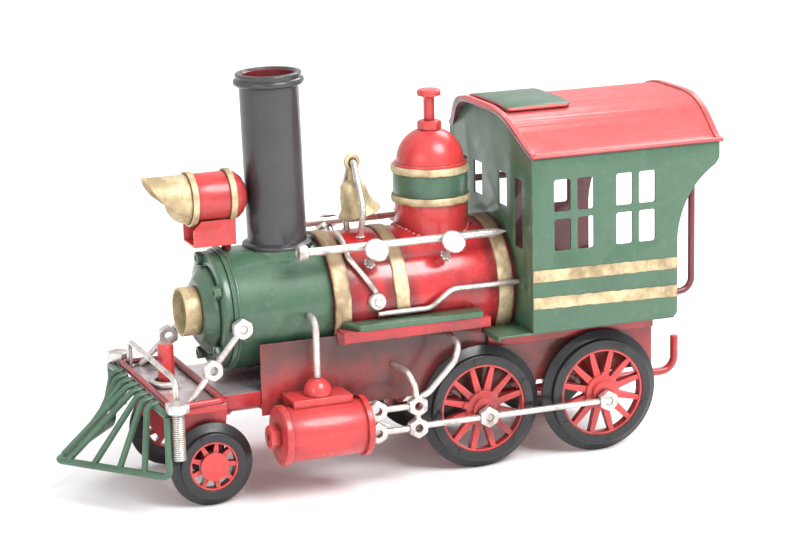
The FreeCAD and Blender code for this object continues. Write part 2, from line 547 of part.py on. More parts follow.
def bell():
    """A bell on a wire yoke; its loop hangs over the yoke's crown and swings fore and aft."""
    crown = V(BELL_X, 0, BELL_Z)
    foot_z = math.sqrt(BOILER_R ** 2 - 7.0 ** 2) + BOILER_Z
    yoke = rod([V(BELL_X, 7.0, foot_z - 1.2), V(BELL_X, 11.4, foot_z + 12.0), V(BELL_X, 2.2, BELL_Z),
                V(BELL_X, -2.2, BELL_Z), V(BELL_X, -11.4, foot_z + 12.0), V(BELL_X, -7.0, foot_z - 1.2)], WIRE_R, bend=3.6)
    yoke = yoke.cut(cylinder(V(BELL_X - 10, 0, BOILER_Z), X_DIR, BOILER_R, 20))
    save("bell_yoke", [keep_highest(yoke)])
    loop_r = 1.0
    gap = WIRE_R + RUNNING
    ring = Part.makeTorus(gap + loop_r, loop_r, crown, Y_DIR)
    body_top = BELL_Z - gap - 2 * loop_r - 4.2
    neck = cylinder(V(BELL_X, 0, body_top - 0.6), Z_DIR, loop_r, 5.4)
    neck = neck.cut(cylinder(V(BELL_X, -9, BELL_Z), Y_DIR, gap + loop_r, 18))
    ring = ring.fuse(neck).removeSplitter()
    outer = [(0, 0), (3.6, -0.2), (4.6, -1.4), (5.0, -3.6), (5.4, -7.0), (6.4, -10.0), (8.4, -12.6), (8.2, -13.0)]
    inner = [(7.6, -12.8), (5.6, -10.0), (4.5, -7.0), (4.1, -3.8), (3.4, -1.8), (0, -1.4)]
    shell = revolved(outer + inner, V(BELL_X, 0, body_top), Z_DIR)
    eye_z = body_top - 3.0
    eye = Part.makeTorus(1.1, 0.45, V(BELL_X, 0, eye_z), X_DIR)
    eye = eye.fuse(cylinder(V(BELL_X, 0, eye_z + 1.1), Z_DIR, 0.45, 1.2))
    small = Part.makeTorus(1.1, 0.45, V(BELL_X, 0, eye_z - 1.22), Y_DIR)
    stem = cylinder(V(BELL_X, 0, body_top - 11.0), Z_DIR, 0.6, 11.0 - (body_top - eye_z) - 2.2)
    knob = Part.makeSphere(1.5, V(BELL_X, 0, body_top - 11.0))
    clapper = knob.fuse(stem).fuse(small).removeSplitter()
    for shape in (shell, eye, clapper):
        shape.rotate(V(BELL_X, 0, body_top), Y_DIR, BELL_TILT)
    whole = ring.fuse(shell).fuse(eye).removeSplitter()
    for name, shape in (("bell_shell", whole), ("bell_clapper", clapper)):
        shape.rotate(crown, Y_DIR, BELL_HANG)
        save(name, [shape])


def rails():
    """Along each side: a long nail held under the heads of two short nails driven into the boiler."""
    shapes = []
    nails = []
    angle = math.radians(39.5)
    out = V(0, math.cos(angle), math.sin(angle))
    up = V(0, -math.sin(angle), math.cos(angle))
    axis_point = V(0, 0, BOILER_Z)
    stem_r = 1.5
    head_in = BOILER_R + 10.4
    rail_r = 1.6
    along = head_in - rail_r
    level = axis_point + out * along + up * (rail_r + stem_r)
    front = V(BELL_X + 31.0, level.y, level.z)
    length = front.x - CAB_FRONT_X - 3.8
    shank = revolved([(0, 0), (2.9, 0), (3.0, 0.6), (3.0, 3.4), (2.4, 3.8), (rail_r, 4.0), (rail_r, length - 5.0),
                      (0.3, length), (0, length)], front, V(-1, 0, 0))
    socket = cylinder(front + V(0.1, 0, 0), V(-1, 0, 0), 1.6, 1.8)
    shapes.append(shank.cut(socket))
    for x in (BELL_X + 1.0, DOME_X + 2.0):
        base = V(x, 0, BOILER_Z) + out * (BOILER_R - 0.6)
        stem = cylinder(base, out, stem_r, head_in - BOILER_R + 0.6)
        stem = keep_far(stem.cut(cylinder(V(x - 10, 0, BOILER_Z), X_DIR, BOILER_R, 20)), stem)
        head = revolved([(0, 0), (4.7, 0), (4.7, 0.9), (4.2, 1.3), (0, 1.5)], V(x, 0, BOILER_Z) + out * head_in, out)
        nails.append(stem.fuse(head).removeSplitter())
    save("side_rails", both(shapes))
    save("rail_nails", both(nails))


def keep_far(shape, fallback):
    return keep_largest(shape) if shape.Solids else fallback


def on_boiler(x, degrees, stand_off):
    """A point beside the boiler barrel at an angle above the horizontal."""
    y, z = around(0, BOILER_Z, BOILER_R + stand_off, degrees)
    return V(x, y, z)


def boiler_pipes():
    """On each side a wire pipe comes down over the barrel to a round valve, and another runs back to the cab."""
    wire = 1.05
    out = wire + BAND_R - BOILER_R + 0.35
    band_rear = BOILER_FRONT_X - 6.3
    start = band_rear - wire - 0.3
    route = [on_boiler(start, 76 - 8 * n, out) for n in range(5)]
    route += [on_boiler(start - 2.2, 35, out), on_boiler(start - 4.6, 26, out), on_boiler(start - 8.2, 13, out)]
    upper = rod(route, wire, bend=3.0)
    disc_x = band_rear - 9.8
    tilt = math.radians(5.5)
    out_dir = V(0, math.cos(tilt), math.sin(tilt))
    disc = revolved([(0, -0.3), (3.0, -0.3), (3.4, 0.6), (3.4, 2.4), (3.0, 3.1), (1.6, 3.1), (1.4, 3.7), (0, 3.7)],
                    on_boiler(disc_x, 5.5, 0.0), out_dir)
    barrel = cylinder(V(CAB_FRONT_X, 0, BOILER_Z), X_DIR, BOILER_R, BOILER_LENGTH)
    disc = keep_largest(disc.cut(barrel))
    upper = keep_largest(upper.cut(disc))
    run_y = BOILER_R + out + 0.1
    low = BOILER_Z - 2.2
    high = BOILER_Z + 4.2
    lower = rod([V(disc_x, run_y, low), V(disc_x - 21.0, run_y, low), V(disc_x - 30.0, run_y, high),
                 V(CAB_FRONT_X, run_y, high)], wire, bend=6.0)
    lower = keep_largest(lower.cut(disc))
    shell = cylinder(V(CAB_FRONT_X - 10, 0, BOILER_Z), X_DIR, BAND_R, 100)
    for name, shape in (("upper", upper), ("lower", lower)):
        if shape.common(shell).Volume > 0.01:
            raise ValueError("the " + name + " pipe cuts the boiler bands")
    return both([upper, lower, disc])


# ---- running boards -------------------------------------------------------------------------------
def running_boards():
    """Green folded strips beside the boiler, on red ledges with a turned-down lip and two spot-welded tabs."""
    inner = math.sqrt(max(BOILER_R ** 2 - (BOILER_Z - LEDGE_Z) ** 2, 0)) + 0.6
    outer = LEDGE_Y
    shelf = box((LEDGE_REAR_X, LEDGE_FRONT_X), (FRAME_HALF_W, outer), (LEDGE_Z - SHEET, LEDGE_Z))
    lip = box((LEDGE_REAR_X, LEDGE_FRONT_X), (outer - SHEET, outer), (LEDGE_Z - 4.0, LEDGE_Z))
    foot = box((LEDGE_REAR_X, LEDGE_FRONT_X), (FRAME_HALF_W, FRAME_HALF_W + 1.4), (LEDGE_Z - 4.2, LEDGE_Z))
    ledge = shelf.fuse(lip).fuse(foot).cut(boiler_space())
    ledge = keep_largest(ledge)
    tab = box((-2.6, 2.6), (FRAME_HALF_W, FRAME_HALF_W + 0.6), (LEDGE_Z - 7.0, LEDGE_Z - 3.0))
    for x in (LEDGE_FRONT_X - 3.2, LEDGE_FRONT_X - 27.0):
        piece = tab.copy()
        piece.translate(V(x, 0, 0))
        ledge = ledge.fuse(piece)
    save("running_board_ledges", both([ledge.removeSplitter()]))
    front = LEDGE_FRONT_X - 2.0
    rear = LEDGE_REAR_X + 2.0
    inner = max(inner, FRAME_HALF_W - SHEET)
    clear = math.sqrt(BAND_R ** 2 - (BOILER_Z - LEDGE_Z - 2.2) ** 2) + 0.3
    inner = max(inner, clear)
    board = plate([V(front - 4.6, outer + 0.2, LEDGE_Z), V(front, inner, LEDGE_Z), V(rear, inner, LEDGE_Z),
                   V(rear + 1.2, outer + 0.2, LEDGE_Z)], Z_DIR * 2.2)
    save("running_boards", both([board]))


# ---- cylinders and motion -------------------------------------------------------------------------
def cylinders():
    y = CYLINDER_Y
    z = CYLINDER_Z
    cover_r = CYLINDER_R + 1.1
    rear = CYLINDER_X - CYLINDER_LENGTH
    barrel = cylinder(V(rear + 2.4, y, z), X_DIR, CYLINDER_R, CYLINDER_LENGTH - 4.8)
    front_cover = revolved([(0, 0), (cover_r, 0), (cover_r, 1.9), (cover_r - 0.5, 2.4), (0, 2.4)],
                           V(CYLINDER_X - 2.4, y, z), X_DIR)
    rear_cover = revolved([(0, 0), (cover_r - 0.5, 0), (cover_r, 0.5), (cover_r, 2.4), (0, 2.4)], V(rear, y, z), X_DIR)
    plug = hexagon(V(CYLINDER_X + 2.0, y, z), X_DIR, M5_FLATS, 4.0, 1.6, turn=8)
    chest_x = (rear + 5.6, CYLINDER_X - 5.6)
    chest_top = z + CYLINDER_R + 2.7
    chest = box(chest_x, (FRAME_HALF_W, y + 2.4), (z + 4.6, chest_top)).cut(
        cylinder(V(rear, y, z), X_DIR, CYLINDER_R, CYLINDER_LENGTH))
    spot = V((chest_x[0] + chest_x[1]) / 2, CHEST_PIPE_Y, chest_top)
    cap = revolved([(0, 0), (5.4, 0), (5.3, 1.4), (4.8, 3.2), (3.7, 4.9), (2.2, 6.0), (0, 6.4)], spot, Z_DIR)
    save("steam_cylinders", both([barrel, front_cover, rear_cover, plug]))
    save("valve_chests", both([keep_largest(chest), cap]))
    entry_z = BOILER_Z - 0.4
    wall_y = math.sqrt(SMOKEBOX_R ** 2 - (entry_z - BOILER_Z) ** 2) if spot.x > BOILER_FRONT_X else BOILER_R
    pipe = rod([spot + V(0, 0, 6.4), V(spot.x, spot.y, entry_z), V(spot.x - 0.6, wall_y - 0.4, entry_z)], 1.35, bend=4.5)
    pipe = pipe.cut(cylinder(V(spot.x - 30, 0, BOILER_Z), X_DIR, SMOKEBOX_R if spot.x > BOILER_FRONT_X else BOILER_R, 60))
    return both([keep_largest(pipe)])


def crosshead():
    """Four nuts joined by short bars behind each cylinder, a gusset, and two bent stays up to the frame."""
    y = CROSSHEAD_Y
    high = CYLINDER_Z + 5.6
    low = PIN_Z + 0.6
    front = CROSSHEAD_FRONT_X
    rear = CROSSHEAD_REAR_X
    half = M4_FLATS / 2
    nuts = []
    for x, z in ((front, high), (rear, high), (front, low), (rear, low)):
        nuts.append(hexagon(V(x, y, z), Y_DIR, M4_FLATS, M4_THICK, M4_BORE_R))
    links = [cylinder(V(rear + half, y, z), X_DIR, WIRE_R, front - rear - 2 * half) for z in (high, low)]
    corner = M4_FLATS / math.sqrt(3)
    links.append(cylinder(V(rear, y, low + corner - 0.4), Z_DIR, WIRE_R, high - low - 2 * corner + 0.8))
    gusset = plate([V(front + half, y - 0.5, low + 3.2), V(front + half, y - 0.5, high - 1.0),
                    V(front - 6.0, y - 0.5, low + 2.0)], Y_DIR * 1.0)
    top = V(rear, y, high + half)
    inner = rod([V(rear + 4.2, FRAME_HALF_W - 1, FRAME_BOTTOM_Z + 13.8), V(rear + 2.2, y - 3.0, FRAME_BOTTOM_Z + 13.2),
                 V(rear + 0.5, y - 0.8, FRAME_BOTTOM_Z + 8.0), top + V(0.4, 0, -0.6)], WIRE_R, bend=4.0)
    outer = rod([V(rear - 18.4, FRAME_HALF_W - 1, FRAME_BOTTOM_Z + 24.2), V(rear - 18.6, y - 3.4, FRAME_BOTTOM_Z + 21.3),
                 V(rear - 16.0, y - 1.8, FRAME_BOTTOM_Z + 15.6), V(rear - 5.0, y - 0.6, FRAME_BOTTOM_Z + 5.4),
                 top + V(-1.0, 0, -0.6)], WIRE_R, bend=4.0)
    inner = inner.cut(box((rear - 30, front + 30), (0, FRAME_HALF_W), (0, LEDGE_Z)))
    outer = outer.cut(box((rear - 30, front + 30), (0, FRAME_HALF_W), (0, LEDGE_Z)))
    pieces = list(nuts)
    for bar in links + [gusset, inner, outer]:
        for other in list(pieces):
            bar = bar.cut(other)
        pieces.append(keep_largest(bar))
    save("crosshead_frames", both(pieces))


# ---- cab ------------------------------------------------------------------------------------------
def roof_height(y):
    """Height of the roof sheet's underside above the eave: a round crown that flares out at the eaves."""
    share = min(abs(y) / CAB_HALF_W, 1.0)
    return CAB_RISE * (0.5 + 0.5 * math.cos(math.pi * share ** 2.2))


def arch_points(offset, steps=16):
    """Points (y, z) across the roof's underside, lifted by an offset along the sheet's normal."""
    points = []
    for n in range(-steps, steps + 1):
        y = CAB_HALF_W * n / steps
        slope = (roof_height(y + 0.01) - roof_height(y - 0.01)) / 0.02
        size = math.hypot(1, slope)
        points.append((y - slope / size * offset, EAVE_Z + roof_height(y) + offset / size))
    return points


def arch_curve(points, x):
    curve = Part.BSplineCurve()
    curve.interpolate([V(x, y, z) for y, z in points])
    return curve.toShape()


def arch_sheet(x_low, x_high, below, above, half_share=1.0):
    """A sheet following the roof's arch, between two offsets from the underside."""
    low = arch_points(below)
    high = arch_points(above)
    if half_share < 1.0:
        low = [point for point in low if abs(point[0]) <= CAB_HALF_W * half_share]
        high = high[(len(high) - len(low)) // 2:(len(high) + len(low)) // 2]
    bottom = arch_curve(low, x_low)
    top = arch_curve(high, x_low)
    right = Part.LineSegment(V(x_low, *low[0]), V(x_low, *high[0])).toShape()
    left = Part.LineSegment(V(x_low, *low[-1]), V(x_low, *high[-1])).toShape()
    face = Part.Face(Part.Wire(Part.__sortEdges__([bottom, right, top, left])))
    return face.extrude(X_DIR * (x_high - x_low))


def window_panes(x, z, pane_w, pane_h, bar):
    """Four panes round the centre (x, z), as cutters with rounded corners, through a side wall."""
    shapes = []
    for side_x in (-1, 1):
        for side_z in (-1, 1):
            x_low = x + side_x * (pane_w + bar) / 2 - pane_w / 2
            z_low = z + side_z * (pane_h + bar) / 2 - pane_h / 2
            pane = box((x_low, x_low + pane_w), (-100, 100), (z_low, z_low + pane_h))
            upright = [edge for edge in pane.Edges if abs(edge.BoundBox.YLength) > 10]
            shapes.append(pane.makeFillet(1.0, upright))
    return shapes


def cab_sides():
    """Side sheets with two windows of four panes and a swept rear edge under the roof's tail."""
    rear = CAB_FRONT_X - CAB_LENGTH
    tail = rear - CAB_TAIL
    cusp = V(rear - CAB_TAIL * 0.39, 0, EAVE_Z - 16.6)
    edges = [V(CAB_FRONT_X, 0, CAB_Z), V(CAB_FRONT_X, 0, EAVE_Z), V(tail, 0, EAVE_Z), V(tail, 0, EAVE_Z - 6.0),
             V(tail + 1.6, 0, EAVE_Z - 8.4)]
    lines = [Part.LineSegment(a, b).toShape() for a, b in zip(edges[:-1], edges[1:])]
    lines.append(Part.Arc(edges[-1], V(tail + 6.6, 0, EAVE_Z - 12.0), cusp).toShape())
    knee = V(rear, 0, EAVE_Z - 36.0)
    lines.append(Part.Arc(cusp, V(rear - CAB_TAIL * 0.12, 0, EAVE_Z - 25.5), knee).toShape())
    low = [knee, V(rear, 0, CAB_Z + 1.4), V(rear + 1.4, 0, CAB_Z), V(CAB_FRONT_X, 0, CAB_Z)]
    lines += [Part.LineSegment(a, b).toShape() for a, b in zip(low[:-1], low[1:])]
    side = Part.Face(Part.Wire(lines)).extrude(Y_DIR * SHEET)
    middle_z = EAVE_Z - 22.1
    for x in (CAB_FRONT_X - CAB_LENGTH * 0.283, CAB_FRONT_X - CAB_LENGTH * 0.708):
        for pane in window_panes(x, middle_z, 6.9, 12.4, 2.7):
            side = side.cut(pane)
    side.translate(V(0, CAB_HALF_W - SHEET, 0))
    save("cab_sides", both([side]))


def cab_front():
    """The front sheet under the roof's arch, with four slots, pipe holes and the cut-out round the boiler."""
    inside = CAB_HALF_W - SHEET
    tall = box((CAB_FRONT_X - SHEET, CAB_FRONT_X), (-inside, inside), (CAB_Z, EAVE_Z + CAB_RISE + 5))
    void = arch_sheet(CAB_FRONT_X - 5, CAB_FRONT_X + 5, 0.0, 30.0)
    wall = keep_lowest(tall.cut(void))
    slots = [(22.3, 30.6, EAVE_Z - 36.1, EAVE_Z - 9.3), (7.8, 16.0, EAVE_Z - 22.4, EAVE_Z - 9.3)]
    for low_y, high_y, low_z, high_z in slots:
        slot = box((CAB_FRONT_X - 5, CAB_FRONT_X + 5), (low_y, high_y), (low_z, high_z))
        wall = wall.cut(slot).cut(mirrored(slot))
    hole = cylinder(V(CAB_FRONT_X - 5, CAB_HALF_W - 7.4, EAVE_Z - 50.2), X_DIR, 0.9, 10)
    wall = wall.cut(hole).cut(mirrored(hole))
    save("cab_front", [wall])


def keep_lowest(shape):
    return min(shape.Solids, key=lambda solid: solid.BoundBox.ZMin)


def cab_floor():
    """The floor, carried forward each side of the boiler as a step, on a red underframe."""
    front = CAB_FRONT_X + 13.4
    rear = CAB_FRONT_X - CAB_LENGTH + SHEET
    floor = box((rear, front), (-CAB_HALF_W + SHEET, CAB_HALF_W - SHEET), (CAB_Z - SHEET, CAB_Z))
    half = math.sqrt(BAND_R ** 2 - (BOILER_Z - CAB_Z) ** 2) + 0.6
    floor = floor.cut(box((CAB_FRONT_X, front + 1), (-half, half), (CAB_Z - 2, CAB_Z + 2)))
    floor = floor.cut(cylinder(V(CAB_FRONT_X - 1, 0, BOILER_Z), X_DIR, BOILER_R, 40))
    lip = box((front, front + SHEET), (FRAME_HALF_W, CAB_HALF_W - SHEET), (CAB_Z - 2.0, CAB_Z))
    for y in (1, -1):
        piece = lip if y > 0 else mirrored(lip)
        floor = floor.fuse(piece)
    save("cab_floor", [floor.removeSplitter()])
    top = CAB_Z - SHEET
    rail = box((FRAME_REAR_X, front - 1.0), (FRAME_HALF_W, FRAME_HALF_W + 1.5), (top - 6.6, top))
    save("cab_underframe", both([rail]))


def cab_roof():
    """The arched roof with rolled hems on both eaves and both ends; its front edge leans forward at the crown."""
    front = CAB_FRONT_X + 4.6
    rear = CAB_FRONT_X - CAB_LENGTH - CAB_TAIL
    sheet = arch_sheet(rear - ROOF_HEM, front, 0.0, 1.0)
    hem_in = arch_sheet(rear - ROOF_HEM, rear - ROOF_HEM + 2.2, 0.0, 1.7)
    hem_out = arch_sheet(CAB_FRONT_X - 2.4, front, 0.0, 2.4)
    lean = math.atan2(4.6, CAB_RISE)
    reach = 40.0
    edge = plate([V(CAB_FRONT_X - 0.2 - math.tan(lean) * 3, 0, EAVE_Z - 3), V(CAB_FRONT_X + reach, 0, EAVE_Z - 3),
                  V(CAB_FRONT_X + reach, 0, EAVE_Z + reach), V(CAB_FRONT_X - 0.2 + math.tan(lean) * reach, 0, EAVE_Z + reach)],
                 Y_DIR * 200)
    edge.translate(V(0, -100, 0))
    shape = sheet.fuse(hem_in).fuse(hem_out.cut(moved_back(edge, 2.2))).cut(edge)
    for side in (1, -1):
        y = side * CAB_HALF_W
        hem = cylinder(V(rear - ROOF_HEM, y, EAVE_Z + 0.9), X_DIR, 0.9, CAB_LENGTH + CAB_TAIL + ROOF_HEM - 0.4)
        shape = shape.fuse(hem)
    shape = keep_largest(shape)
    wall = box((rear - ROOF_HEM - 5, CAB_FRONT_X), (CAB_HALF_W - SHEET, CAB_HALF_W), (CAB_Z, EAVE_Z))
    shape = shape.cut(wall).cut(mirrored(wall))
    save("cab_roof", [shape.removeSplitter()])
    hatch = arch_sheet(CAB_FRONT_X - 25.8, CAB_FRONT_X + 0.6, 1.02, 2.8, half_share=0.5)
    save("roof_hatch", [hatch])


def moved_back(shape, distance):
    """The same cutter further back, so that only a strip behind the sheet's edge is kept."""
    piece = shape.copy()
    piece.translate(V(-distance, 0, 0))
    whole = box((-400, 400), (-200, 200), (-10, 400))
    return whole.cut(piece)


def grab_rails():
    """Bars behind the cab from under the roof's tail down to the side sheets."""
    rear = CAB_FRONT_X - CAB_LENGTH
    x = rear - CAB_TAIL * 0.39
    y = CAB_HALF_W - SHEET - 1.3
    low = EAVE_Z - 57.0
    route = [V(x, y, EAVE_Z - 0.4), V(x, y, low), V(rear + 2.0, y, low - 1.2)]
    bar = rod(route, 1.3, bend=5.0)
    save("cab_grab_rails", both([bar]))


# ---- places that several pieces share -------------------------------------------------------------
BOLT_X = DECK_FRONT_X - 0.8
BOLT_Y = CAB_HALF_W - 0.7
POST_Y = BOLT_Y - 0.9
POST_X = BOLT_X + math.sqrt((M5_SHANK_R + COW_WIRE_R) ** 2 - 0.9 ** 2)
COW_LOW_Z = PILOT_FLANGE_R + 0.5
DECK_HALF_W = CAB_HALF_W - 6.6
PILOT_CHEEK_Y = FRAME_HALF_W + 0.2
CYLINDER_Z = AXLE_Z + 1.6
CHEST_PIPE_Y = FRAME_HALF_W + 8.0
CROSSHEAD_FRONT_X = CYLINDER_X - CYLINDER_LENGTH - M4_FLATS / 2
CROSSHEAD_REAR_X = CROSSHEAD_FRONT_X - 16.3
LEDGE_FRONT_X = BOILER_FRONT_X
LEDGE_REAR_X = CAB_FRONT_X + 14.6
LEDGE_Y = FRAME_HALF_W + 9.4
DOOR_R = 17.0
CHIMNEY_X = SMOKEBOX_FRONT_X - 25.0
CHIMNEY_LEAN = 1.3
DOME_X = CAB_FRONT_X + 24.9
DOME_R = 14.0
DOME_CAP_Z = BOILER_Z + BOILER_R + 24.2
BELL_X = BOILER_FRONT_X - 17.0
BELL_Z = BOILER_Z + BOILER_R + 26.6
BELL_TILT = 20.0            # the bell's own lean on its loop
BELL_HANG = -5.0            # how far the loop hangs back, negative forward
ROOF_HEM = 1.2


def main():
    os.makedirs("parts", exist_ok=True)
    driver_pair("front_driver", DRIVER_FRONT_X, (133, 15, 253), (10, 82, 154, 226, 300))
    driver_pair("rear_driver", DRIVER_REAR_X, (98, 227, 335), (40, 120, 200, 260, 325))
    pilot_pair()
    side_rod("side_rod_left", 1)
    side_rod("side_rod_right", -1)
    frame_sides()
    frame_floor()
    frame_crossmembers()
    drawbar()
    pilot_bracket()
    deck_rods()
    handrail()
    coupling_post()
    cowcatcher()
    front_bolts()
    front_braces()
    smokebox()
    boiler()
    chimney()
    lamp()
    dome()
    bell()
    rails()
    running_boards()
    save("pipework", boiler_pipes() + cylinders())
    crosshead()
    cab_sides()
    cab_front()
    cab_floor()
    cab_roof()
    grab_rails()


main()
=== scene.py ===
import json
import math

import bmesh
import bpy
from mathutils import Matrix, Vector, noise


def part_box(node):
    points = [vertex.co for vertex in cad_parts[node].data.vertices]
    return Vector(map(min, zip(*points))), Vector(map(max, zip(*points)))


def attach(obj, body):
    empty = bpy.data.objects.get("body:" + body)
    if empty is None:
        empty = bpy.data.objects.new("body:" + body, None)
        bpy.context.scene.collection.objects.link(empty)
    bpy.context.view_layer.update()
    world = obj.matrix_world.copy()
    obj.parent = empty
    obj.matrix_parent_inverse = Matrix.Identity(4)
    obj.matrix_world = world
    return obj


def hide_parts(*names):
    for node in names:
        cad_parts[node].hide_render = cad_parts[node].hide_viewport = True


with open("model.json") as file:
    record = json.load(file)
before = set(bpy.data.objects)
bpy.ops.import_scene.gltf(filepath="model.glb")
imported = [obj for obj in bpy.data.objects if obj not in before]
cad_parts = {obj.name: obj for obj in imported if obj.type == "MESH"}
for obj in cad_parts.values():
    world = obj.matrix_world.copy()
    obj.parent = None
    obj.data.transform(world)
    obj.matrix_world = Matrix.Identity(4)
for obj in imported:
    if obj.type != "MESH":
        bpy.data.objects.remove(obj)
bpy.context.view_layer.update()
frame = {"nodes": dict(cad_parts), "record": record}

bl_info = {
    "name": "Toy locomotive",
    "version": (1, 0, 0),
    "blender": (4, 5, 0),
    "location": "View3D > Sidebar > Locomotive",
    "description": "Builds the visible pieces of a sheet-metal toy locomotive round its frame",
    "category": "Object",
}

MM = 0.001
X_AXIS = Vector((1, 0, 0))
Y_AXIS = Vector((0, 1, 0))
Z_AXIS = Vector((0, 0, 1))

NAIL_RISE = math.radians(39.5)      # how far up round the boiler the nails are driven in
YOKE_HALF_SPAN = 7.4 * MM           # from the bell's middle to a foot of its yoke
BAND_WIDTHS = (6.3 * MM, 5.6 * MM, 6.2 * MM)        # boiler bands, front one first
BAND_THICKNESS = 0.9 * MM
DOME_BAND_WIDTH = 2.8 * MM
BOLT_HEAD = 3.5 * MM                # height of a front bolt's head
BOLT_SHANK_R = 2.5 * MM
BOLT_ROOT_R = 2.05 * MM
CHIMNEY_WALL = 0.9 * MM
CHIMNEY_FOOT_HEIGHT = 2.2 * MM
ARCH_POWER = 2.2                    # how long the roof's crown stays full before it flares out at the eaves
STRIPE_LENGTH = 60.7 * MM
STRIPE_LEVELS = ((75.7 * MM, 75.0 * MM), (65.3 * MM, 63.9 * MM))    # middle of each stripe at its front and rear
CAMERA_TARGET = Vector((-0.0093, 0, 0.07348))
LIGHT_TARGET = Vector((0, 0, 0.07))
LIGHTS = (("key", (-0.45, 1.0, 1.25), 0.9, 26), ("rim", (-0.9, -0.6, 1.1), 0.8, 10),
          ("front", (1.2, 0.9, 0.6), 0.7, 4))       # name, place, size, watts


def low(node):
    return Vector(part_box(node)[0])


def high(node):
    return Vector(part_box(node)[1])


def middle(node):
    return (low(node) + high(node)) / 2


# ---- node trees for the finishes ------------------------------------------------------------------
class Finish:
    """A material under construction: adds nodes, links them and sets their values."""

    def __init__(self, name):
        self.material = bpy.data.materials.new(name)
        self.material.use_nodes = True
        self.tree = self.material.node_tree
        self.shader = self.tree.nodes["Principled BSDF"]
        self.place = self.add("ShaderNodeTexCoord").outputs["Object"]

    def add(self, kind, settings=None, **inputs):
        node = self.tree.nodes.new(kind)
        for key, value in (settings or {}).items():
            setattr(node, key, value)
        for key, value in inputs.items():
            socket = node.inputs[int(key[1:])] if key[1:].isdigit() else node.inputs[key.replace("_", " ")]
            self.set(socket, value)
        return node

    def set(self, socket, value):
        if isinstance(value, bpy.types.NodeSocket):
            self.tree.links.new(value, socket)
        else:
            socket.default_value = value

    def noise(self, scale, detail=3.0, rough=0.55, seed=0.0, stretch=(1, 1, 1)):
        spot = self.add("ShaderNodeMapping", Vector=self.place, Location=(seed, seed * 1.7, -seed), Scale=stretch)
        return self.add("ShaderNodeTexNoise", Vector=spot.outputs[0], Scale=scale, Detail=detail,
                        Roughness=rough).outputs["Fac"]

    def ramp(self, value, start, end, low_value=0.0, high_value=1.0):
        node = self.add("ShaderNodeMapRange", {"interpolation_type": "SMOOTHSTEP"}, Value=value)
        node.inputs["From Min"].default_value = start
        node.inputs["From Max"].default_value = end
        node.inputs["To Min"].default_value = low_value
        node.inputs["To Max"].default_value = high_value
        return node.outputs[0]

    def math(self, operation, a, b=0.0, clamp=True):
        return self.add("ShaderNodeMath", {"operation": operation, "use_clamp": clamp}, _0=a, _1=b).outputs[0]

    def mix(self, amount, a, b):
        node = self.add("ShaderNodeMix", {"data_type": "RGBA"})
        self.set(node.inputs["Factor"], amount)
        self.set(node.inputs[6], a)
        self.set(node.inputs[7], b)
        return node.outputs[2]

    def edges(self, radius):
        """1 along sharp edges, 0 on open surfaces."""
        round_normal = self.add("ShaderNodeBevel", {"samples": 4}, Radius=radius).outputs[0]
        flat_normal = self.add("ShaderNodeNewGeometry").outputs["Normal"]
        turn = self.add("ShaderNodeVectorMath", {"operation": "DOT_PRODUCT"}, _0=round_normal, _1=flat_normal)
        return self.ramp(turn.outputs["Value"], 0.995, 0.86)

    def shade_in_recesses(self, reach):
        """Painted shade: 1 deep in corners and under overlaps, where ambient occlusion finds shade, 0 in the open."""
        shade = self.add("ShaderNodeAmbientOcclusion", {"samples": 6}, Distance=reach).outputs["AO"]
        return self.ramp(shade, 0.88, 0.30)

    def near(self, axis, place, width):
        """1 at a place along an axis, fading to 0 a width away from it on both sides."""
        along = self.add("ShaderNodeSeparateXYZ", Vector=self.place).outputs[axis]
        gap = self.math("ABSOLUTE", self.math("SUBTRACT", along, place, clamp=False), clamp=False)
        return self.ramp(gap, width, width * 0.15)


def colour(rgb):
    return (rgb[0], rgb[1], rgb[2], 1.0)


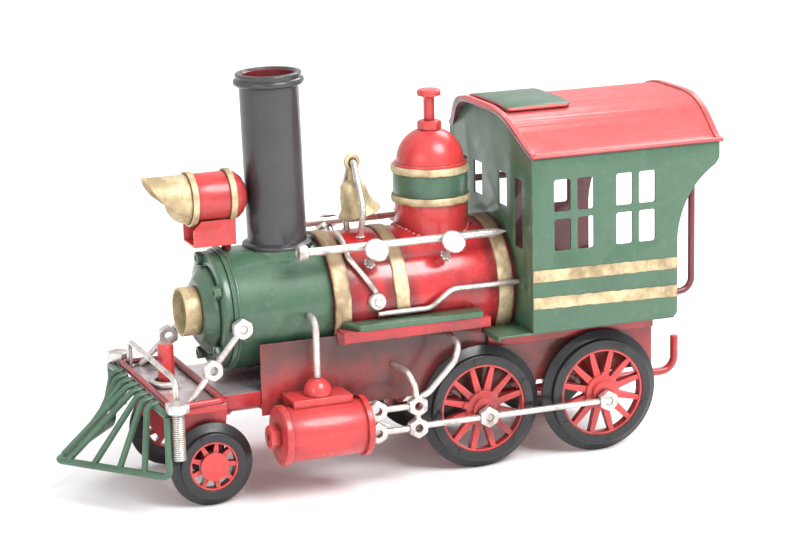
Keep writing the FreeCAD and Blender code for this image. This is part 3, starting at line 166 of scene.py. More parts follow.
def enamel(name, base, wash, worn_and_lit, rough=0.32, coat=0.35, dirt_and_shade_amount=0.8, patches=0.35, chips=0.0, reach=6 * MM,
           chip_colour=(0.10, 0.05, 0.04), shades=(), shade_amount=0.8):
    """Hand-sprayed enamel: patchy colour, a dark tone in the corners that is dirt and painted shade, darkening at
    given places, and rubbed edges in a lighter tone that is partly a painted highlight.
    """
    f = Finish(name)
    cloud = f.noise(38, 4, 0.6, 0.31)
    fine = f.noise(420, 3, 0.6, 1.7)
    tone = f.mix(f.math("MULTIPLY", f.ramp(cloud, 0.44, 0.70), patches), colour(base), colour(wash))
    tone = f.mix(f.math("MULTIPLY", f.ramp(fine, 0.5, 0.8), 0.14), tone, colour(worn_and_lit))
    torn = f.ramp(f.noise(55, 5, 0.7, 9.1), 0.30, 0.62, 0.45, 1.0)
    # Darkening at given places: painted shade where a place is an underside or lies under an overhang, airbrushed
    # paint where it runs beside the boiler bands.
    for axis, place, width in shades:
        fog = f.math("MULTIPLY", f.near(axis, place, width), torn)
        tone = f.mix(f.math("MULTIPLY", fog, shade_amount), tone, colour(wash))
    # Painted shade mixed with dirt: the dark tone fills corners and overlaps that ambient occlusion finds shaded.
    dirt_and_shade = f.math("MULTIPLY", f.shade_in_recesses(reach), f.ramp(f.noise(120, 3, 0.6, 4.2), 0.25, 0.55, 0.55, 1.0))
    tone = f.mix(f.math("MULTIPLY", dirt_and_shade, dirt_and_shade_amount), tone, colour(wash))
    # Rubbed edges in a lighter tone: wear, and partly a painted highlight along the edges.
    edge = f.math("MULTIPLY", f.edges(0.7 * MM), f.ramp(f.noise(260, 4, 0.7, 8.3), 0.40, 0.62))
    tone = f.mix(f.math("MULTIPLY", edge, 0.5), tone, colour(worn_and_lit))
    if chips:
        spots = f.ramp(f.noise(330, 5, 0.75, 6.1), 0.735 - 0.05 * chips, 0.755 - 0.05 * chips)
        tone = f.mix(f.math("MULTIPLY", spots, 0.8), tone, colour(chip_colour))
    f.set(f.shader.inputs["Base Color"], tone)
    f.set(f.shader.inputs["Roughness"], f.ramp(f.noise(95, 4, 0.6, 2.9), 0.3, 0.7, rough - 0.07, rough + 0.12))
    f.shader.inputs["Coat Weight"].default_value = coat
    f.shader.inputs["Coat Roughness"].default_value = 0.14
    peel = f.noise(900, 2, 0.5, 3.3)
    waves = f.noise(70, 2, 0.5, 5.0)
    bump = f.add("ShaderNodeBump", Height=peel, Strength=0.10, Distance=0.25 * MM)
    bump = f.add("ShaderNodeBump", Height=waves, Strength=0.14, Distance=1.0 * MM, Normal=bump.outputs[0])
    f.set(f.shader.inputs["Normal"], bump.outputs[0])
    return f.material


def gilding(name, base, tarnish_and_shade, bright, shades=()):
    """Brushed-on gold paint: streaky, brown in the hollows from tarnished paint and painted shade, and uneven in
    gloss.
    """
    f = Finish(name)
    streak = f.noise(150, 5, 0.7, 0.7, (1.0, 0.28, 1.0))
    fine = f.noise(700, 3, 0.7, 2.3, (1.0, 0.3, 0.3))
    cloud = f.noise(60, 3, 0.6, 3.9)
    tone = f.mix(f.ramp(streak, 0.35, 0.66), colour(base), colour(bright))
    tone = f.mix(f.math("MULTIPLY", f.ramp(fine, 0.48, 0.75), 0.35), tone, colour(tarnish_and_shade))
    tone = f.mix(f.math("MULTIPLY", f.ramp(cloud, 0.48, 0.70), 0.65), tone, colour(tarnish_and_shade))
    for axis, place, width in shades:
        tone = f.mix(f.math("MULTIPLY", f.near(axis, place, width), f.ramp(streak, 0.3, 0.6, 0.3, 0.9)), tone,
                     colour(tarnish_and_shade))
    # Painted shade with tarnished paint: brown in corners that ambient occlusion finds shaded.
    tone = f.mix(f.math("MULTIPLY", f.shade_in_recesses(4 * MM), 0.8), tone, colour(tarnish_and_shade))
    edge = f.math("MULTIPLY", f.edges(0.6 * MM), 0.35)
    tone = f.mix(edge, tone, colour(tarnish_and_shade))
    f.set(f.shader.inputs["Base Color"], tone)
    f.shader.inputs["Metallic"].default_value = 0.3
    f.set(f.shader.inputs["Roughness"], f.ramp(streak, 0.3, 0.7, 0.36, 0.58))
    bump = f.add("ShaderNodeBump", Height=streak, Strength=0.35, Distance=0.35 * MM)
    f.set(f.shader.inputs["Normal"], bump.outputs[0])
    return f.material


def plating(name, base, stain_and_shade, overspray, spray_amount=0.25):
    """Dull nickel plate with heat stains, darker at the joints as painted shade, fine scratches and some stray red
    spray.
    """
    f = Finish(name)
    cloud = f.noise(140, 4, 0.65, 1.3)
    scratch = f.noise(600, 3, 0.6, 2.2, (0.15, 1.0, 1.0))
    lumps = f.noise(260, 3, 0.6, 5.2)
    tone = f.mix(f.math("MULTIPLY", f.ramp(cloud, 0.50, 0.72), 0.75), colour(base), colour(stain_and_shade))
    # Painted shade: the plate darkens at joints and corners that ambient occlusion finds shaded.
    tone = f.mix(f.math("MULTIPLY", f.shade_in_recesses(3 * MM), 0.85), tone, colour(stain_and_shade))
    spray = f.math("MULTIPLY", f.ramp(f.noise(48, 3, 0.6, 7.7), 0.57, 0.70), spray_amount)
    tone = f.mix(spray, tone, colour(overspray))
    f.set(f.shader.inputs["Base Color"], tone)
    f.shader.inputs["Metallic"].default_value = 0.75
    f.set(f.shader.inputs["Roughness"], f.ramp(cloud, 0.3, 0.7, 0.24, 0.46))
    bump = f.add("ShaderNodeBump", Height=scratch, Strength=0.25, Distance=0.12 * MM)
    bump = f.add("ShaderNodeBump", Height=lumps, Strength=0.30, Distance=0.6 * MM, Normal=bump.outputs[0])
    f.set(f.shader.inputs["Normal"], bump.outputs[0])
    return f.material


def floor_finish():
    """Plain matt white for the floor, a little uneven."""
    f = Finish("studio_floor")
    shade = f.noise(9, 2, 0.5, 0.5)
    f.set(f.shader.inputs["Base Color"], f.mix(shade, (0.93, 0.93, 0.94, 1), (0.95, 0.95, 0.95, 1)))
    f.shader.inputs["Roughness"].default_value = 0.7
    f.shader.inputs["Specular IOR Level"].default_value = 0.2
    return f.material


# ---- sizes and colours a user can change ----------------------------------------------------------
class LocoColours(bpy.types.PropertyGroup):
    red: bpy.props.FloatVectorProperty(name="Red", description="Red enamel", subtype="COLOR", size=3,
                                       default=(0.62, 0.046, 0.046), min=0, max=1)
    green: bpy.props.FloatVectorProperty(name="Green", description="Green enamel", subtype="COLOR", size=3,
                                         default=(0.058, 0.130, 0.076), min=0, max=1)
    black: bpy.props.FloatVectorProperty(name="Black", description="Chimney and tyre enamel", subtype="COLOR", size=3,
                                         default=(0.042, 0.040, 0.044), min=0, max=1)
    gold: bpy.props.FloatVectorProperty(name="Gold", description="Gold paint", subtype="COLOR", size=3,
                                        default=(0.46, 0.35, 0.19), min=0, max=1)
    # Dark tone for random patches, also used as painted shade in corners and at given places.
    wash: bpy.props.FloatVectorProperty(name="Wash", description="Dark antique wash on the red", subtype="COLOR",
                                        size=3, default=(0.085, 0.018, 0.018), min=0, max=1)


class LocoSizes(bpy.types.PropertyGroup):
    edge: bpy.props.FloatProperty(name="Edge", description="Rounding of the sheet and forged edges", unit="LENGTH",
                                  default=0.22 * MM)
    thread_pitch: bpy.props.FloatProperty(name="Thread pitch", description="Pitch of the front bolts' threads",
                                          unit="LENGTH", default=0.8 * MM)
    weld: bpy.props.FloatProperty(name="Weld", description="Radius of a solder bead", unit="LENGTH",
                                  default=0.95 * MM)
    stripe: bpy.props.FloatProperty(name="Stripe", description="Height of a painted stripe on the cab", unit="LENGTH",
                                    default=4.6 * MM)
    hem: bpy.props.FloatProperty(name="Hem", description="Radius of the hatch's rolled edge", unit="LENGTH",
                                 default=0.85 * MM)
    crown: bpy.props.FloatProperty(name="Crown", description="Rise of the roof's arch above the eaves", unit="LENGTH",
                                   default=14.6 * MM)


class LocoStage(bpy.types.PropertyGroup):
    camera_turn: bpy.props.FloatProperty(name="Turn", description="Where the camera stands round the locomotive",
                                         subtype="ANGLE", default=math.radians(158.78))
    camera_rise: bpy.props.FloatProperty(name="Rise", description="Camera height angle", subtype="ANGLE",
                                         default=math.radians(13.71))
    camera_roll: bpy.props.FloatProperty(name="Roll", description="Camera roll", subtype="ANGLE",
                                         default=math.radians(-1.28))
    camera_reach: bpy.props.FloatProperty(name="Reach", description="Camera to the locomotive's middle",
                                          unit="LENGTH", default=1.01475)
    camera_lens: bpy.props.FloatProperty(name="Lens", description="Focal length in millimetres", default=118.42)
    sky: bpy.props.FloatProperty(name="Surroundings", description="Brightness of the white room", default=0.85)


def band_places():
    """Middles of the three boiler bands along the boiler, front one first."""
    front = high("boiler_bands").x
    rear = low("boiler_bands").x
    return (front - 3.15 * MM, front - 26.9 * MM, rear + 3.1 * MM)


def palette():
    """The finishes, made once for a scene."""
    if bpy.data.materials.get("red_enamel") is None:
        c = bpy.context.scene.loco_colours
        red, green, black, gold, wash = (tuple(v) for v in (c.red, c.green, c.black, c.gold, c.wash))
        red_dark = (0.36, 0.020, 0.022)
        maroon = (0.16, 0.022, 0.026)
        brown = (0.085, 0.040, 0.036)
        green_dark = (0.018, 0.040, 0.026)
        sides = [(0, place + shift * MM, 5.5 * MM) for place in band_places() for shift in (-3.5, 3.5)]
        enamel("red_enamel", red, wash, (0.86, 0.25, 0.22), chips=0.5)
        enamel("wheel_red", red, (0.060, 0.018, 0.018), (0.80, 0.20, 0.17), dirt_and_shade_amount=0.95, patches=0.6, chips=0.6,
               reach=9 * MM)
        enamel("roof_red", (0.62, 0.075, 0.075), wash, (0.86, 0.30, 0.27), rough=0.40, chips=0.4, patches=0.14)
        enamel("frame_red", (0.46, 0.030, 0.035), (0.085, 0.03, 0.03), (0.74, 0.12, 0.11), patches=0.7, chips=0.6)
        enamel("boiler_red", (0.58, 0.022, 0.028), (0.10, 0.014, 0.016), (0.92, 0.30, 0.25), rough=0.27, coat=0.6,
               patches=0.45, shades=sides, shade_amount=0.75)
        panel_x = (low("frame_sides").x + high("frame_sides").x) / 2
        # The panel goes brown over its middle, and darker just under the running boards as painted shade.
        enamel("panel_red", (0.40, 0.030, 0.032), brown, (0.70, 0.10, 0.10), patches=0.85, chips=0.6,
               shades=((0, panel_x + 20 * MM, 62 * MM), (2, low("running_boards").z - 5 * MM, 14 * MM)),
               shade_amount=0.85)
        enamel("maroon_enamel", maroon, (0.05, 0.012, 0.014), (0.34, 0.06, 0.06), patches=0.5, chips=0.3)
        enamel("green_enamel", green, green_dark, (0.19, 0.31, 0.22), rough=0.38, chips=0.6)
        enamel("cab_green", green, green_dark, (0.20, 0.32, 0.23), rough=0.40, chips=0.45, patches=0.22,
               reach=4 * MM)
        # Painted shade: the smokebox darkens towards its underside.
        enamel("smokebox_green", green, green_dark, (0.20, 0.34, 0.24), rough=0.33, coat=0.45, chips=0.5,
               patches=0.4, shades=((2, low("smokebox_shell").z, 18 * MM),), shade_amount=0.7)
        enamel("black_enamel", black, (0.018, 0.018, 0.020), (0.12, 0.11, 0.115), rough=0.34, coat=0.35,
               chips=0.65, chip_colour=(0.34, 0.04, 0.035), patches=0.3)
        enamel("tyre_black", (0.017, 0.017, 0.019), (0.008, 0.008, 0.009), (0.06, 0.057, 0.060), rough=0.30,
               coat=0.15, chips=0.3, chip_colour=(0.30, 0.05, 0.04), patches=0.3)
        gilding("brushed_gold", gold, (0.16, 0.088, 0.042), (0.70, 0.57, 0.35))
        gilding("band_gold", gold, (0.15, 0.080, 0.036), (0.78, 0.62, 0.40),
                ((2, high("boiler_bands").z - 3 * MM, 8 * MM),))
        plating("nickel_plate", (0.72, 0.68, 0.65), (0.26, 0.19, 0.15), (0.50, 0.16, 0.13))
        plating("deck_tin", (0.82, 0.74, 0.76), (0.34, 0.22, 0.22), red_dark, 0.35)
    return bpy.data.materials


# ---- shaping ---------------------------------------------------------------------------------------
def join(whole, part):
    """Closes a finished shape's seams, turns its faces outwards and adds it to a piece."""
    bmesh.ops.remove_doubles(part, verts=part.verts, dist=0.002 * MM)
    bmesh.ops.recalc_face_normals(part, faces=part.faces)
    spare = bpy.data.meshes.new("spare")
    part.to_mesh(spare)
    whole.from_mesh(spare)
    bpy.data.meshes.remove(spare)
    part.free()


def soften(bm, width, corner=32.0, segments=2):
    """Rounds every edge sharper than a corner angle."""
    sharp = [edge for edge in bm.edges
             if len(edge.link_faces) == 2 and edge.calc_face_angle(0.0) > math.radians(corner)]
    bmesh.ops.bevel(bm, geom=sharp, offset=width, offset_type="OFFSET", segments=segments, profile=0.5,
                    affect="EDGES", material=-1, clamp_overlap=True)


def arc(radius, along, size, start, end, steps=6):
    """Profile points (radius, along) round a small arc, angles in degrees, 0 outwards and 90 forwards."""
    turns = [math.radians(start + (end - start) * n / steps) for n in range(steps + 1)]
    return [(radius + size * math.cos(turn), along + size * math.sin(turn)) for turn in turns]


def lathe(whole, profile, origin, axis, steps=72):
    """Spins a profile of (radius, along) points round an axis; one that stays off the axis is closed up."""
    part = bmesh.new()
    axis = Vector(axis).normalized()
    side = axis.orthogonal().normalized()
    verts = [part.verts.new(Vector(origin) + axis * along + side * radius) for radius, along in profile]
    edges = [part.edges.new(pair) for pair in zip(verts, verts[1:])]
    if profile[0][0] > 0:
        edges.append(part.edges.new((verts[-1], verts[0])))
    bmesh.ops.spin(part, geom=verts + edges, cent=origin, axis=axis, dvec=(0, 0, 0), angle=math.tau, steps=steps,
                   use_merge=True, use_duplicate=False)
    join(whole, part)


def wire(whole, points, radius, bend, sides=14, closed=False):
    """Bent rod: straight runs joined by swept bends, with rounded ends."""
    part = bmesh.new()
    points = [Vector(point) for point in points]
    start = points[0]
    if closed:
        start = (points[0] + points[-1]) / 2
        points = [start] + points + [start]
    first = (points[1] - points[0]).normalized()
    turned = first.to_track_quat("Z", "Y").to_matrix().to_4x4()
    made = bmesh.ops.create_circle(part, cap_ends=False, segments=sides, radius=radius,
                                   matrix=Matrix.Translation(start) @ turned)
    ring = list({edge for vert in made["verts"] for edge in vert.link_edges})
    here = start
    opening = ring
    for before, corner, after in zip(points, points[1:], points[2:]):
        coming = (corner - before).normalized()
        going = (after - corner).normalized()
        turn = coming.angle(going)
        if turn < 0.01:
            continue
        room = 0.48 * min((corner - before).length, (after - corner).length)
        cut = min(bend * math.tan(turn / 2), room)
        ring = pull(part, ring, corner - coming * cut - here)
        centre = corner - coming * cut + (going - coming * coming.dot(going)).normalized() * cut / math.tan(turn / 2)
        swept = bmesh.ops.spin(part, geom=ring, cent=centre, axis=coming.cross(going), dvec=(0, 0, 0), angle=turn,
                               steps=max(3, int(turn * 7)), use_merge=False, use_duplicate=False)
        ring = [item for item in swept["geom_last"] if isinstance(item, bmesh.types.BMEdge)]
        here = corner + going * cut
    ring = pull(part, ring, points[-1] - here)
    if not closed:
        ends = bmesh.ops.edgeloop_fill(part, edges=opening)["faces"]
        ends += bmesh.ops.edgeloop_fill(part, edges=ring)["faces"]
        rims = [edge for face in ends for edge in face.edges]
        bmesh.ops.bevel(part, geom=rims, offset=radius * 0.35, offset_type="OFFSET", segments=3, profile=0.5,
                        affect="EDGES", material=-1, clamp_overlap=True)
    join(whole, part)


def pull(part, ring, move):
    """Extrudes a ring of edges along a move and gives the new ring."""
    made = bmesh.ops.extrude_edge_only(part, edges=ring)["geom"]
    verts = [item for item in made if isinstance(item, bmesh.types.BMVert)]
    bmesh.ops.translate(part, verts=verts, vec=move)
    return [item for item in made if isinstance(item, bmesh.types.BMEdge)
            and all(vert in verts for vert in item.verts)]


def bead(whole, centre, radius, flat=0.7, seed=0.0):
    """A lump of solder."""
    part = bmesh.new()
    made = bmesh.ops.create_icosphere(part, subdivisions=2, radius=radius,
                                      matrix=Matrix.Translation(centre) @ Matrix.Diagonal((1, 1, flat, 1)))
    for vert in made["verts"]:
        away = vert.co - Vector(centre)
        vert.co += away * 0.28 * noise.noise(vert.co * 700 + Vector((seed, 0, 0)))
    join(whole, part)


def bead_ring(whole, centre, up, radius, count, size, flat, seed):
    """Lumps of solder in a ring round a foot, from the X axis towards an upward one; gives the next seed."""
    for n in range(count):
        turn = math.tau * n / count
        bead(whole, centre + (X_AXIS * math.cos(turn) + up * math.sin(turn)) * radius, size, flat, seed + n)
    return seed + count


def copied(node):
    """A merged copy of a frame piece's shape, its flat faces joined up."""
    bm = bmesh.new()
    bm.from_mesh(frame["nodes"][node].data)
    bmesh.ops.remove_doubles(bm, verts=bm.verts, dist=0.003 * MM)
    bmesh.ops.dissolve_limit(bm, angle_limit=math.radians(1.2), use_dissolve_boundaries=False, verts=bm.verts,
                             edges=bm.edges, delimit={"NORMAL"})
    return bm


def new_piece(name, bm, finish, body="chassis", replaces=(), corner=38.0):
    """Turns a shape into a piece that rides on a body."""
    for face in bm.faces:
        face.smooth = True
    mesh = bpy.data.meshes.new(name)
    bm.to_mesh(mesh)
    bm.free()
    mesh.set_sharp_from_angle(angle=math.radians(corner))
    mesh.materials.append(palette()[finish])
    piece = bpy.data.objects.new(name, mesh)
    bpy.context.collection.objects.link(piece)
    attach(piece, body)
    if replaces:
        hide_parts(*replaces)
    return piece


def body_of(node):
    """The body that a frame piece rides on."""
    bodies = frame["record"]["behaviour"]["bodies"]
    return next(name for name, nodes in bodies.items() if node in nodes)


# ---- pieces kept from the frame, with softened edges ---------------------------------------------
RED_NODES = ("coupling_post", "lamp_body", "lamp_bracket", "dome_drum", "dome_valve", "steam_cylinders",
             "valve_chests")
WHEEL_NODES = ("front_driver_centres", "rear_driver_centres", "pilot_centres")
FRAME_NODES = ("frame_crossmembers", "drawbar_hook", "pilot_bracket", "deck_rods", "running_board_ledges",
               "cab_underframe")
GREEN_NODES = ("cowcatcher", "running_boards", "dome_belt", "roof_hatch")
SMOKEBOX_NODES = ("smokebox_shell", "smokebox_front", "smokebox_door", "door_nuts")
TYRE_NODES = ("front_driver_tyres", "rear_driver_tyres", "pilot_tyres")
GOLD_NODES = ("door_ring", "lamp_bands", "lamp_hood", "lamp_lens", "bell_shell", "bell_clapper")
PLATED_NODES = ("front_handrail", "front_braces", "bell_yoke", "side_rails", "rail_nails", "pipework",
                "crosshead_frames", "side_rod_left", "side_rod_right", "front_driver_axle", "rear_driver_axle",
                "pilot_axle", "coupling_link")


def softened(node, finish, inside=None, inside_finish="maroon_enamel"):
    """A frame piece with its edges rounded; faces that a test picks get the inside finish."""
    bm = copied(node)
    soften(bm, bpy.context.scene.loco_sizes.edge)
    if inside:
        for face in bm.faces:
            face.material_index = 1 if inside(face) else 0
    piece = new_piece(node + ".softened", bm, finish, body_of(node), (node,))
    if inside:
        piece.data.materials.append(palette()[inside_finish])
    return piece


def faces_cab(face):
    """Sheet faces that look into the cab from the sides."""
    return abs(face.normal.y) > 0.6 and face.normal.y * face.calc_center_median().y < 0


class LOCO_OT_frame_pieces(bpy.types.Operator):
    """Rounds and paints the pieces kept from the frame"""
    bl_idname = "loco.frame_pieces"
    bl_label = "Frame pieces"

    def execute(self, context):
        groups = ((RED_NODES, "red_enamel"), (WHEEL_NODES, "wheel_red"), (FRAME_NODES, "frame_red"),
                  (GREEN_NODES, "green_enamel"), (SMOKEBOX_NODES, "smokebox_green"), (TYRE_NODES, "tyre_black"),
                  (GOLD_NODES, "brushed_gold"), (PLATED_NODES, "nickel_plate"), (("boiler_shell",), "boiler_red"),
                  # The grab rails are red, given the dark maroon finish as painted shade for the shadow they stand
                  # in.
                  (("cab_grab_rails",), "maroon_enamel"), (("cab_floor",), "green_enamel"),
                  (("frame_sides",), "panel_red"))
        for nodes, finish in groups:
            for node in nodes:
                softened(node, finish)
        return {"FINISHED"}


class LOCO_OT_cab(bpy.types.Operator):
    """Makes the cab's sheets, its painted stripes and the hatch's rolled rim"""
    bl_idname = "loco.cab"
    bl_label = "Cab"

    def execute(self, context):
        sizes = context.scene.loco_sizes
        softened("cab_sides", "cab_green", faces_cab)
        softened("cab_front", "cab_green", lambda face: face.normal.x < -0.5)
        softened("cab_roof", "roof_red", lambda face: face.normal.z < -0.25)
        self.stripes(sizes)
        self.hatch_rim(sizes)
        return {"FINISHED"}

    def stripes(self, sizes):
        front = high("cab_front").x
        rear = front - STRIPE_LENGTH
        sheet = high("cab_sides").y
        bm = bmesh.new()
        for (z_front, z_rear), seed in zip(STRIPE_LEVELS, (0.0, 3.0)):
            for side in (-1, 1):
                part = bmesh.new()
                made = bmesh.ops.create_grid(part, x_segments=90, y_segments=4, size=0.5)
                for vert in made["verts"]:
                    share = vert.co.x + 0.5
                    across = vert.co.y * sizes.stripe
                    x = front + (rear - front) * share
                    ragged = 0.30 * MM * noise.noise(Vector((x * 320, across * 90, seed + side)))
                    z = z_front + (z_rear - z_front) * share + across + ragged
                    vert.co = Vector((x, side * (sheet - 0.05 * MM), z))
                lifted = bmesh.ops.extrude_face_region(part, geom=part.faces[:])["geom"]
                verts = [item for item in lifted if isinstance(item, bmesh.types.BMVert)]
                bmesh.ops.translate(part, verts=verts, vec=(0, side * 0.30 * MM, 0))
                join(bm, part)
        soften(bm, 0.1 * MM)
        new_piece("cab_stripes", bm, "brushed_gold")

    def hatch_rim(self, sizes):
        """A rolled red edge round the hatch, following the roof's arch."""
        crown = high("roof_hatch").z - sizes.hem * 0.9
        half = high("cab_sides").y
        reach = high("roof_hatch").y
        rear, front = low("roof_hatch").x, high("roof_hatch").x
        steps = 10
        route = []
        for x, order in ((front - 0.4 * MM, 1), (rear + 0.4 * MM, -1)):
            for n in range(steps + 1):
                y = order * reach * (2 * n / steps - 1)
                drop = sizes.crown * (0.5 - 0.5 * math.cos(math.pi * (abs(y) / half) ** ARCH_POWER))
                route.append(Vector((x, y, crown - drop)))
        bm = bmesh.new()
        wire(bm, route, sizes.hem * 0.8, 2.0 * MM, closed=True)
        new_piece("hatch_rim", bm, "roof_red")


class LOCO_OT_chimney(bpy.types.Operator):
    """Turns the chimney with its rolled lip, its red lining and the ring at its foot"""
    bl_idname = "loco.chimney"
    bl_label = "Chimney"

    def execute(self, context):
        size = high("chimney_tube") - low("chimney_tube")
        radius = size.y / 2
        lean = math.asin((size.x - size.y) / size.z)
        axis = Vector((math.sin(lean), 0, math.cos(lean)))
        foot = Vector((low("chimney_tube").x + radius, 0, low("chimney_tube").z))
        length = (size.z - radius * math.sin(lean)) / math.cos(lean)
        bore = radius - CHIMNEY_WALL
        bm = bmesh.new()
        profile = [(bore, 0), (radius, 0), (radius, length * 0.5), (radius, length - 5.2 * MM)]
        profile += arc(radius + 0.7 * MM, length - 3.4 * MM, 1.45 * MM, -75, 75, 8)
        profile += arc(radius + 0.6 * MM, length - 0.75 * MM, 0.72 * MM, -35, 90, 5)
        profile += [(bore + 0.4 * MM, length - 0.1 * MM), (bore, length - 0.6 * MM)]
        lathe(bm, profile, foot, axis, 96)
        new_piece("chimney", bm, "black_enamel", replaces=("chimney_tube",))
        bm = bmesh.new()
        ring = low("chimney_rings").z
        height = CHIMNEY_FOOT_HEIGHT
        profile = [(radius - 0.2 * MM, 0), (radius + 1.9 * MM, 0)]
        profile += arc(radius + 1.5 * MM, height * 0.45, 0.7 * MM, -45, 80, 6)
        profile += [(radius + 0.6 * MM, height), (radius - 0.2 * MM, height + 0.2 * MM)]
        lathe(bm, profile, Vector((foot.x, 0, ring)), Z_AXIS, 96)
        new_piece("chimney_foot", bm, "black_enamel", replaces=("chimney_rings",))
        bm = bmesh.new()
        inside = bore - 0.3 * MM
        profile = [(inside, 2 * MM), (bore, 2 * MM), (bore, length - 0.7 * MM), (inside, length - 1 * MM)]
        lathe(bm, profile, foot, axis, 64)
        new_piece("chimney_lining", bm, "maroon_enamel")
        return {"FINISHED"}


class LOCO_OT_dome(bpy.types.Operator):
    """Turns the dome's cap and bands, and welds its drum to the boiler"""
    bl_idname = "loco.dome"
    bl_label = "Steam dome"

    def execute(self, context):
        place = middle("dome_cap")
        base, top = low("dome_cap").z, high("dome_cap").z
        radius = high("dome_cap").y
        bm = bmesh.new()
        last = math.degrees(math.asin(min((top - base) / radius, 1.0)))
        dome = arc(0, 0, radius, 0, last, 18)
        lathe(bm, [(0, 0), (radius * 0.96, 0)] + dome + [(0, top - base)], Vector((place.x, 0, base)), Z_AXIS, 96)
        new_piece("dome_cap_turned", bm, "red_enamel", replaces=("dome_cap",))
        bm = bmesh.new()
        outer = high("dome_bands").y
        width = DOME_BAND_WIDTH
        for z in (low("dome_bands").z, high("dome_bands").z - width):
            profile = [(outer - 1.4 * MM, 0), (outer - 0.35 * MM, 0), (outer - 0.05 * MM, width * 0.2),
                       (outer, width * 0.5), (outer - 0.05 * MM, width * 0.8), (outer - 0.35 * MM, width),
                       (outer - 1.4 * MM, width)]
            lathe(bm, profile, Vector((place.x, 0, z)), Z_AXIS, 120)
        roughen(bm, Z_AXIS, 0.16 * MM)
        new_piece("dome_bands_brushed", bm, "brushed_gold", replaces=("dome_bands",), corner=60)
        drum = high("dome_drum").y
        boiler = middle("boiler_shell")
        barrel = high("boiler_shell").y
        bm = bmesh.new()
        beads = 46
        for n in range(beads):
            turn = math.tau * n / beads
            y = (drum + 0.15 * MM) * math.sin(turn)
            spot = Vector((place.x + (drum + 0.15 * MM) * math.cos(turn), y,
                           boiler.z + math.sqrt(barrel ** 2 - y ** 2)))
            bead(bm, spot, context.scene.loco_sizes.weld * (1.35 + 0.25 * math.sin(n * 2.3)), 0.62, n)
        new_piece("dome_weld", bm, "boiler_red", corner=80)
        return {"FINISHED"}


def roughen(bm, axis, amount):
    """Shifts a painted band's rims a little along its axis, as a brush leaves them."""
    for vert in bm.verts:
        vert.co += Vector(axis) * amount * noise.noise(vert.co * 260)


class LOCO_OT_boiler_bands(bpy.types.Operator):
    """Turns the three gilded bands of the boiler"""
    bl_idname = "loco.boiler_bands"
    bl_label = "Boiler bands"

    def execute(self, context):
        outer = (high("boiler_bands").z - low("boiler_bands").z) / 2
        level = middle("boiler_bands").z
        bm = bmesh.new()
        for place, width in zip(band_places(), BAND_WIDTHS):
            back = Vector((place - width / 2, 0, level))
            inner = outer - BAND_THICKNESS
            profile = [(inner, 0), (outer - 0.3 * MM, 0), (outer - 0.03 * MM, 0.35 * MM)]
            profile += [(outer, width * share) for share in (0.25, 0.5, 0.75)]
            profile += [(outer - 0.03 * MM, width - 0.35 * MM), (outer - 0.3 * MM, width), (inner, width)]
            lathe(bm, profile, back, X_AXIS, 160)
        roughen(bm, X_AXIS, 0.28 * MM)
        new_piece("boiler_bands_brushed", bm, "band_gold", replaces=("boiler_bands",), corner=60)
        return {"FINISHED"}


class LOCO_OT_bolts(bpy.types.Operator):
    """Makes the two threaded hexagon bolts at the front corners"""
    bl_idname = "loco.bolts"
    bl_label = "Front bolts"

    def execute(self, context):
        sizes = context.scene.loco_sizes
        corners = high("front_bolts").x - low("front_bolts").x
        flats = corners * math.cos(math.radians(30))
        head, shank, root = BOLT_HEAD, BOLT_SHANK_R, BOLT_ROOT_R
        base, top = low("front_bolts").z, high("front_bolts").z
        bm = bmesh.new()
        for side in (-1, 1):
            spot = Vector((middle("front_bolts").x, side * (high("front_bolts").y - flats / 2), base))
            profile = [(0, 0), (root - 0.2 * MM, 0)]
            turns = int((top - base - head) / sizes.thread_pitch)
            for n in range(turns):
                start = n * sizes.thread_pitch
                profile += [(root, start + 0.06 * MM), (shank, start + sizes.thread_pitch * 0.42),
                            (shank, start + sizes.thread_pitch * 0.58)]
            profile += [(root, top - base - head), (0, top - base - head)]
            lathe(bm, profile, spot, Z_AXIS, 40)
            part = bmesh.new()
            middle_of_head = spot + Z_AXIS * (top - base - head / 2)
            bmesh.ops.create_cone(part, cap_ends=True, segments=6, radius1=corners / 2, radius2=corners / 2,
                                  depth=head, matrix=Matrix.Translation(middle_of_head))
            soften(part, 0.35 * MM, 20, 3)
            join(bm, part)
        new_piece("front_bolts_threaded", bm, "nickel_plate", replaces=("front_bolts",), corner=50)
        return {"FINISHED"}


class LOCO_OT_welds(bpy.types.Operator):
    """Drops solder where the wires and nails meet the sheet"""
    bl_idname = "loco.welds"
    bl_label = "Solder"

    def execute(self, context):
        size = context.scene.loco_sizes.weld
        boiler = middle("boiler_shell")
        barrel = high("boiler_shell").y
        bm = bmesh.new()
        seed = 1.0
        for x in (low("rail_nails").x + 4.7 * MM, high("rail_nails").x - 4.7 * MM):
            for side in (-1, 1):
                foot = Vector((x, side * barrel * math.cos(NAIL_RISE), boiler.z + barrel * math.sin(NAIL_RISE)))
                up = Vector((0, -side * math.sin(NAIL_RISE), math.cos(NAIL_RISE)))
                seed = bead_ring(bm, foot, up, 1.5 * MM, 7, size, 0.9, seed)
        rail = middle("front_handrail").x
        for side in (-1, 1):
            foot = Vector((rail, side * (high("front_handrail").y - 1.15 * MM), low("front_handrail").z + 0.3 * MM))
            seed = bead_ring(bm, foot, Y_AXIS, 1.1 * MM, 6, size * 0.9, 0.7, seed)
            yoke = Vector((middle("bell_yoke").x, side * YOKE_HALF_SPAN,
                           boiler.z + math.sqrt(barrel ** 2 - YOKE_HALF_SPAN ** 2)))
            seed = bead_ring(bm, yoke, Y_AXIS, 1.1 * MM, 6, size * 0.9, 0.7, seed)
        new_piece("solder", bm, "nickel_plate", corner=80)
        return {"FINISHED"}


class LOCO_OT_deck(bpy.types.Operator):
    """Makes the front deck: bare tin above, painted below and at its edges"""
    bl_idname = "loco.deck"
    bl_label = "Front deck"

    def execute(self, context):
        softened("front_deck_and_floor", "deck_tin", lambda face: face.normal.z < 0.5, "frame_red")
        return {"FINISHED"}


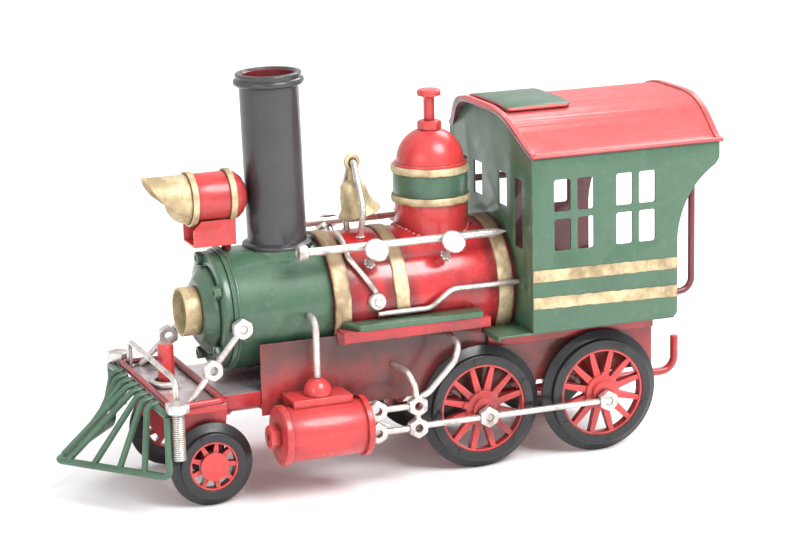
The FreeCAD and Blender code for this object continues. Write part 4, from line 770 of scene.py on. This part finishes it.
class LOCO_OT_stage(bpy.types.Operator):
    """Lays the floor and sets up the lights and the camera"""
    bl_idname = "loco.stage"
    bl_label = "Stage"

    def execute(self, context):
        stage = context.scene.loco_stage
        bm = bmesh.new()
        bmesh.ops.create_grid(bm, x_segments=2, y_segments=2, size=6.0)
        mesh = bpy.data.meshes.new("floor")
        bm.to_mesh(mesh)
        bm.free()
        floor = bpy.data.objects.new("floor", mesh)
        context.collection.objects.link(floor)
        mesh.materials.append(floor_finish())
        world = bpy.data.worlds.new("white_room")
        world.use_nodes = True
        world.node_tree.nodes["Background"].inputs["Color"].default_value = (1, 1, 1, 1)
        world.node_tree.nodes["Background"].inputs["Strength"].default_value = stage.sky
        context.scene.world = world
        for name, spot, size, power in LIGHTS:
            data = bpy.data.lights.new(name, "AREA")
            data.shape = "DISK"
            data.size = size
            data.energy = power
            lamp = bpy.data.objects.new(name, data)
            context.collection.objects.link(lamp)
            lamp.location = spot
            aim = LIGHT_TARGET - Vector(spot)
            lamp.rotation_euler = aim.to_track_quat("-Z", "Y").to_euler()
        turn, rise, roll = stage.camera_turn, stage.camera_rise, stage.camera_roll
        right = Vector((math.cos(turn), math.sin(turn), 0))
        back = Vector((math.sin(turn) * math.cos(rise), -math.cos(turn) * math.cos(rise), math.sin(rise)))
        up = back.cross(right)
        across = right * math.cos(roll) + up * math.sin(roll)
        over = up * math.cos(roll) - right * math.sin(roll)
        data = bpy.data.cameras.new("camera")
        data.sensor_width = 36.0
        data.sensor_fit = "HORIZONTAL"
        data.lens = stage.camera_lens
        data.clip_end = 20
        camera = bpy.data.objects.new("camera", data)
        context.collection.objects.link(camera)
        spot = CAMERA_TARGET + back * stage.camera_reach
        camera.matrix_world = Matrix(((across.x, over.x, back.x, spot.x), (across.y, over.y, back.y, spot.y),
                                      (across.z, over.z, back.z, spot.z), (0, 0, 0, 1)))
        context.scene.camera = camera
        context.scene.view_settings.view_transform = "Standard"
        return {"FINISHED"}


class LOCO_PT_panel(bpy.types.Panel):
    """Lists the locomotive's pieces"""
    bl_idname = "LOCO_PT_panel"
    bl_label = "Toy locomotive"
    bl_space_type = "VIEW_3D"
    bl_region_type = "UI"
    bl_category = "Locomotive"

    def draw(self, context):
        layout = self.layout
        for group in (context.scene.loco_colours, context.scene.loco_sizes, context.scene.loco_stage):
            box = layout.box()
            for key in group.__annotations__:
                box.prop(group, key)
        for operator in OPERATORS:
            layout.operator(operator.bl_idname)


GROUPS = (("loco_colours", LocoColours), ("loco_sizes", LocoSizes), ("loco_stage", LocoStage))
OPERATORS = (LOCO_OT_frame_pieces, LOCO_OT_cab, LOCO_OT_chimney, LOCO_OT_dome, LOCO_OT_boiler_bands, LOCO_OT_bolts,
             LOCO_OT_welds, LOCO_OT_deck, LOCO_OT_stage)


def register():
    for key, group in GROUPS:
        bpy.utils.register_class(group)
        setattr(bpy.types.Scene, key, bpy.props.PointerProperty(type=group))
    for kind in OPERATORS + (LOCO_PT_panel,):
        bpy.utils.register_class(kind)


def unregister():
    for kind in (LOCO_PT_panel,) + tuple(reversed(OPERATORS)):
        bpy.utils.unregister_class(kind)
    for key, group in reversed(GROUPS):
        delattr(bpy.types.Scene, key)
        bpy.utils.unregister_class(group)


def main():
    register()
    for operator in OPERATORS:
        area, action = operator.bl_idname.split(".")
        getattr(getattr(bpy.ops, area), action)()


if __name__ == "__main__":
    main()
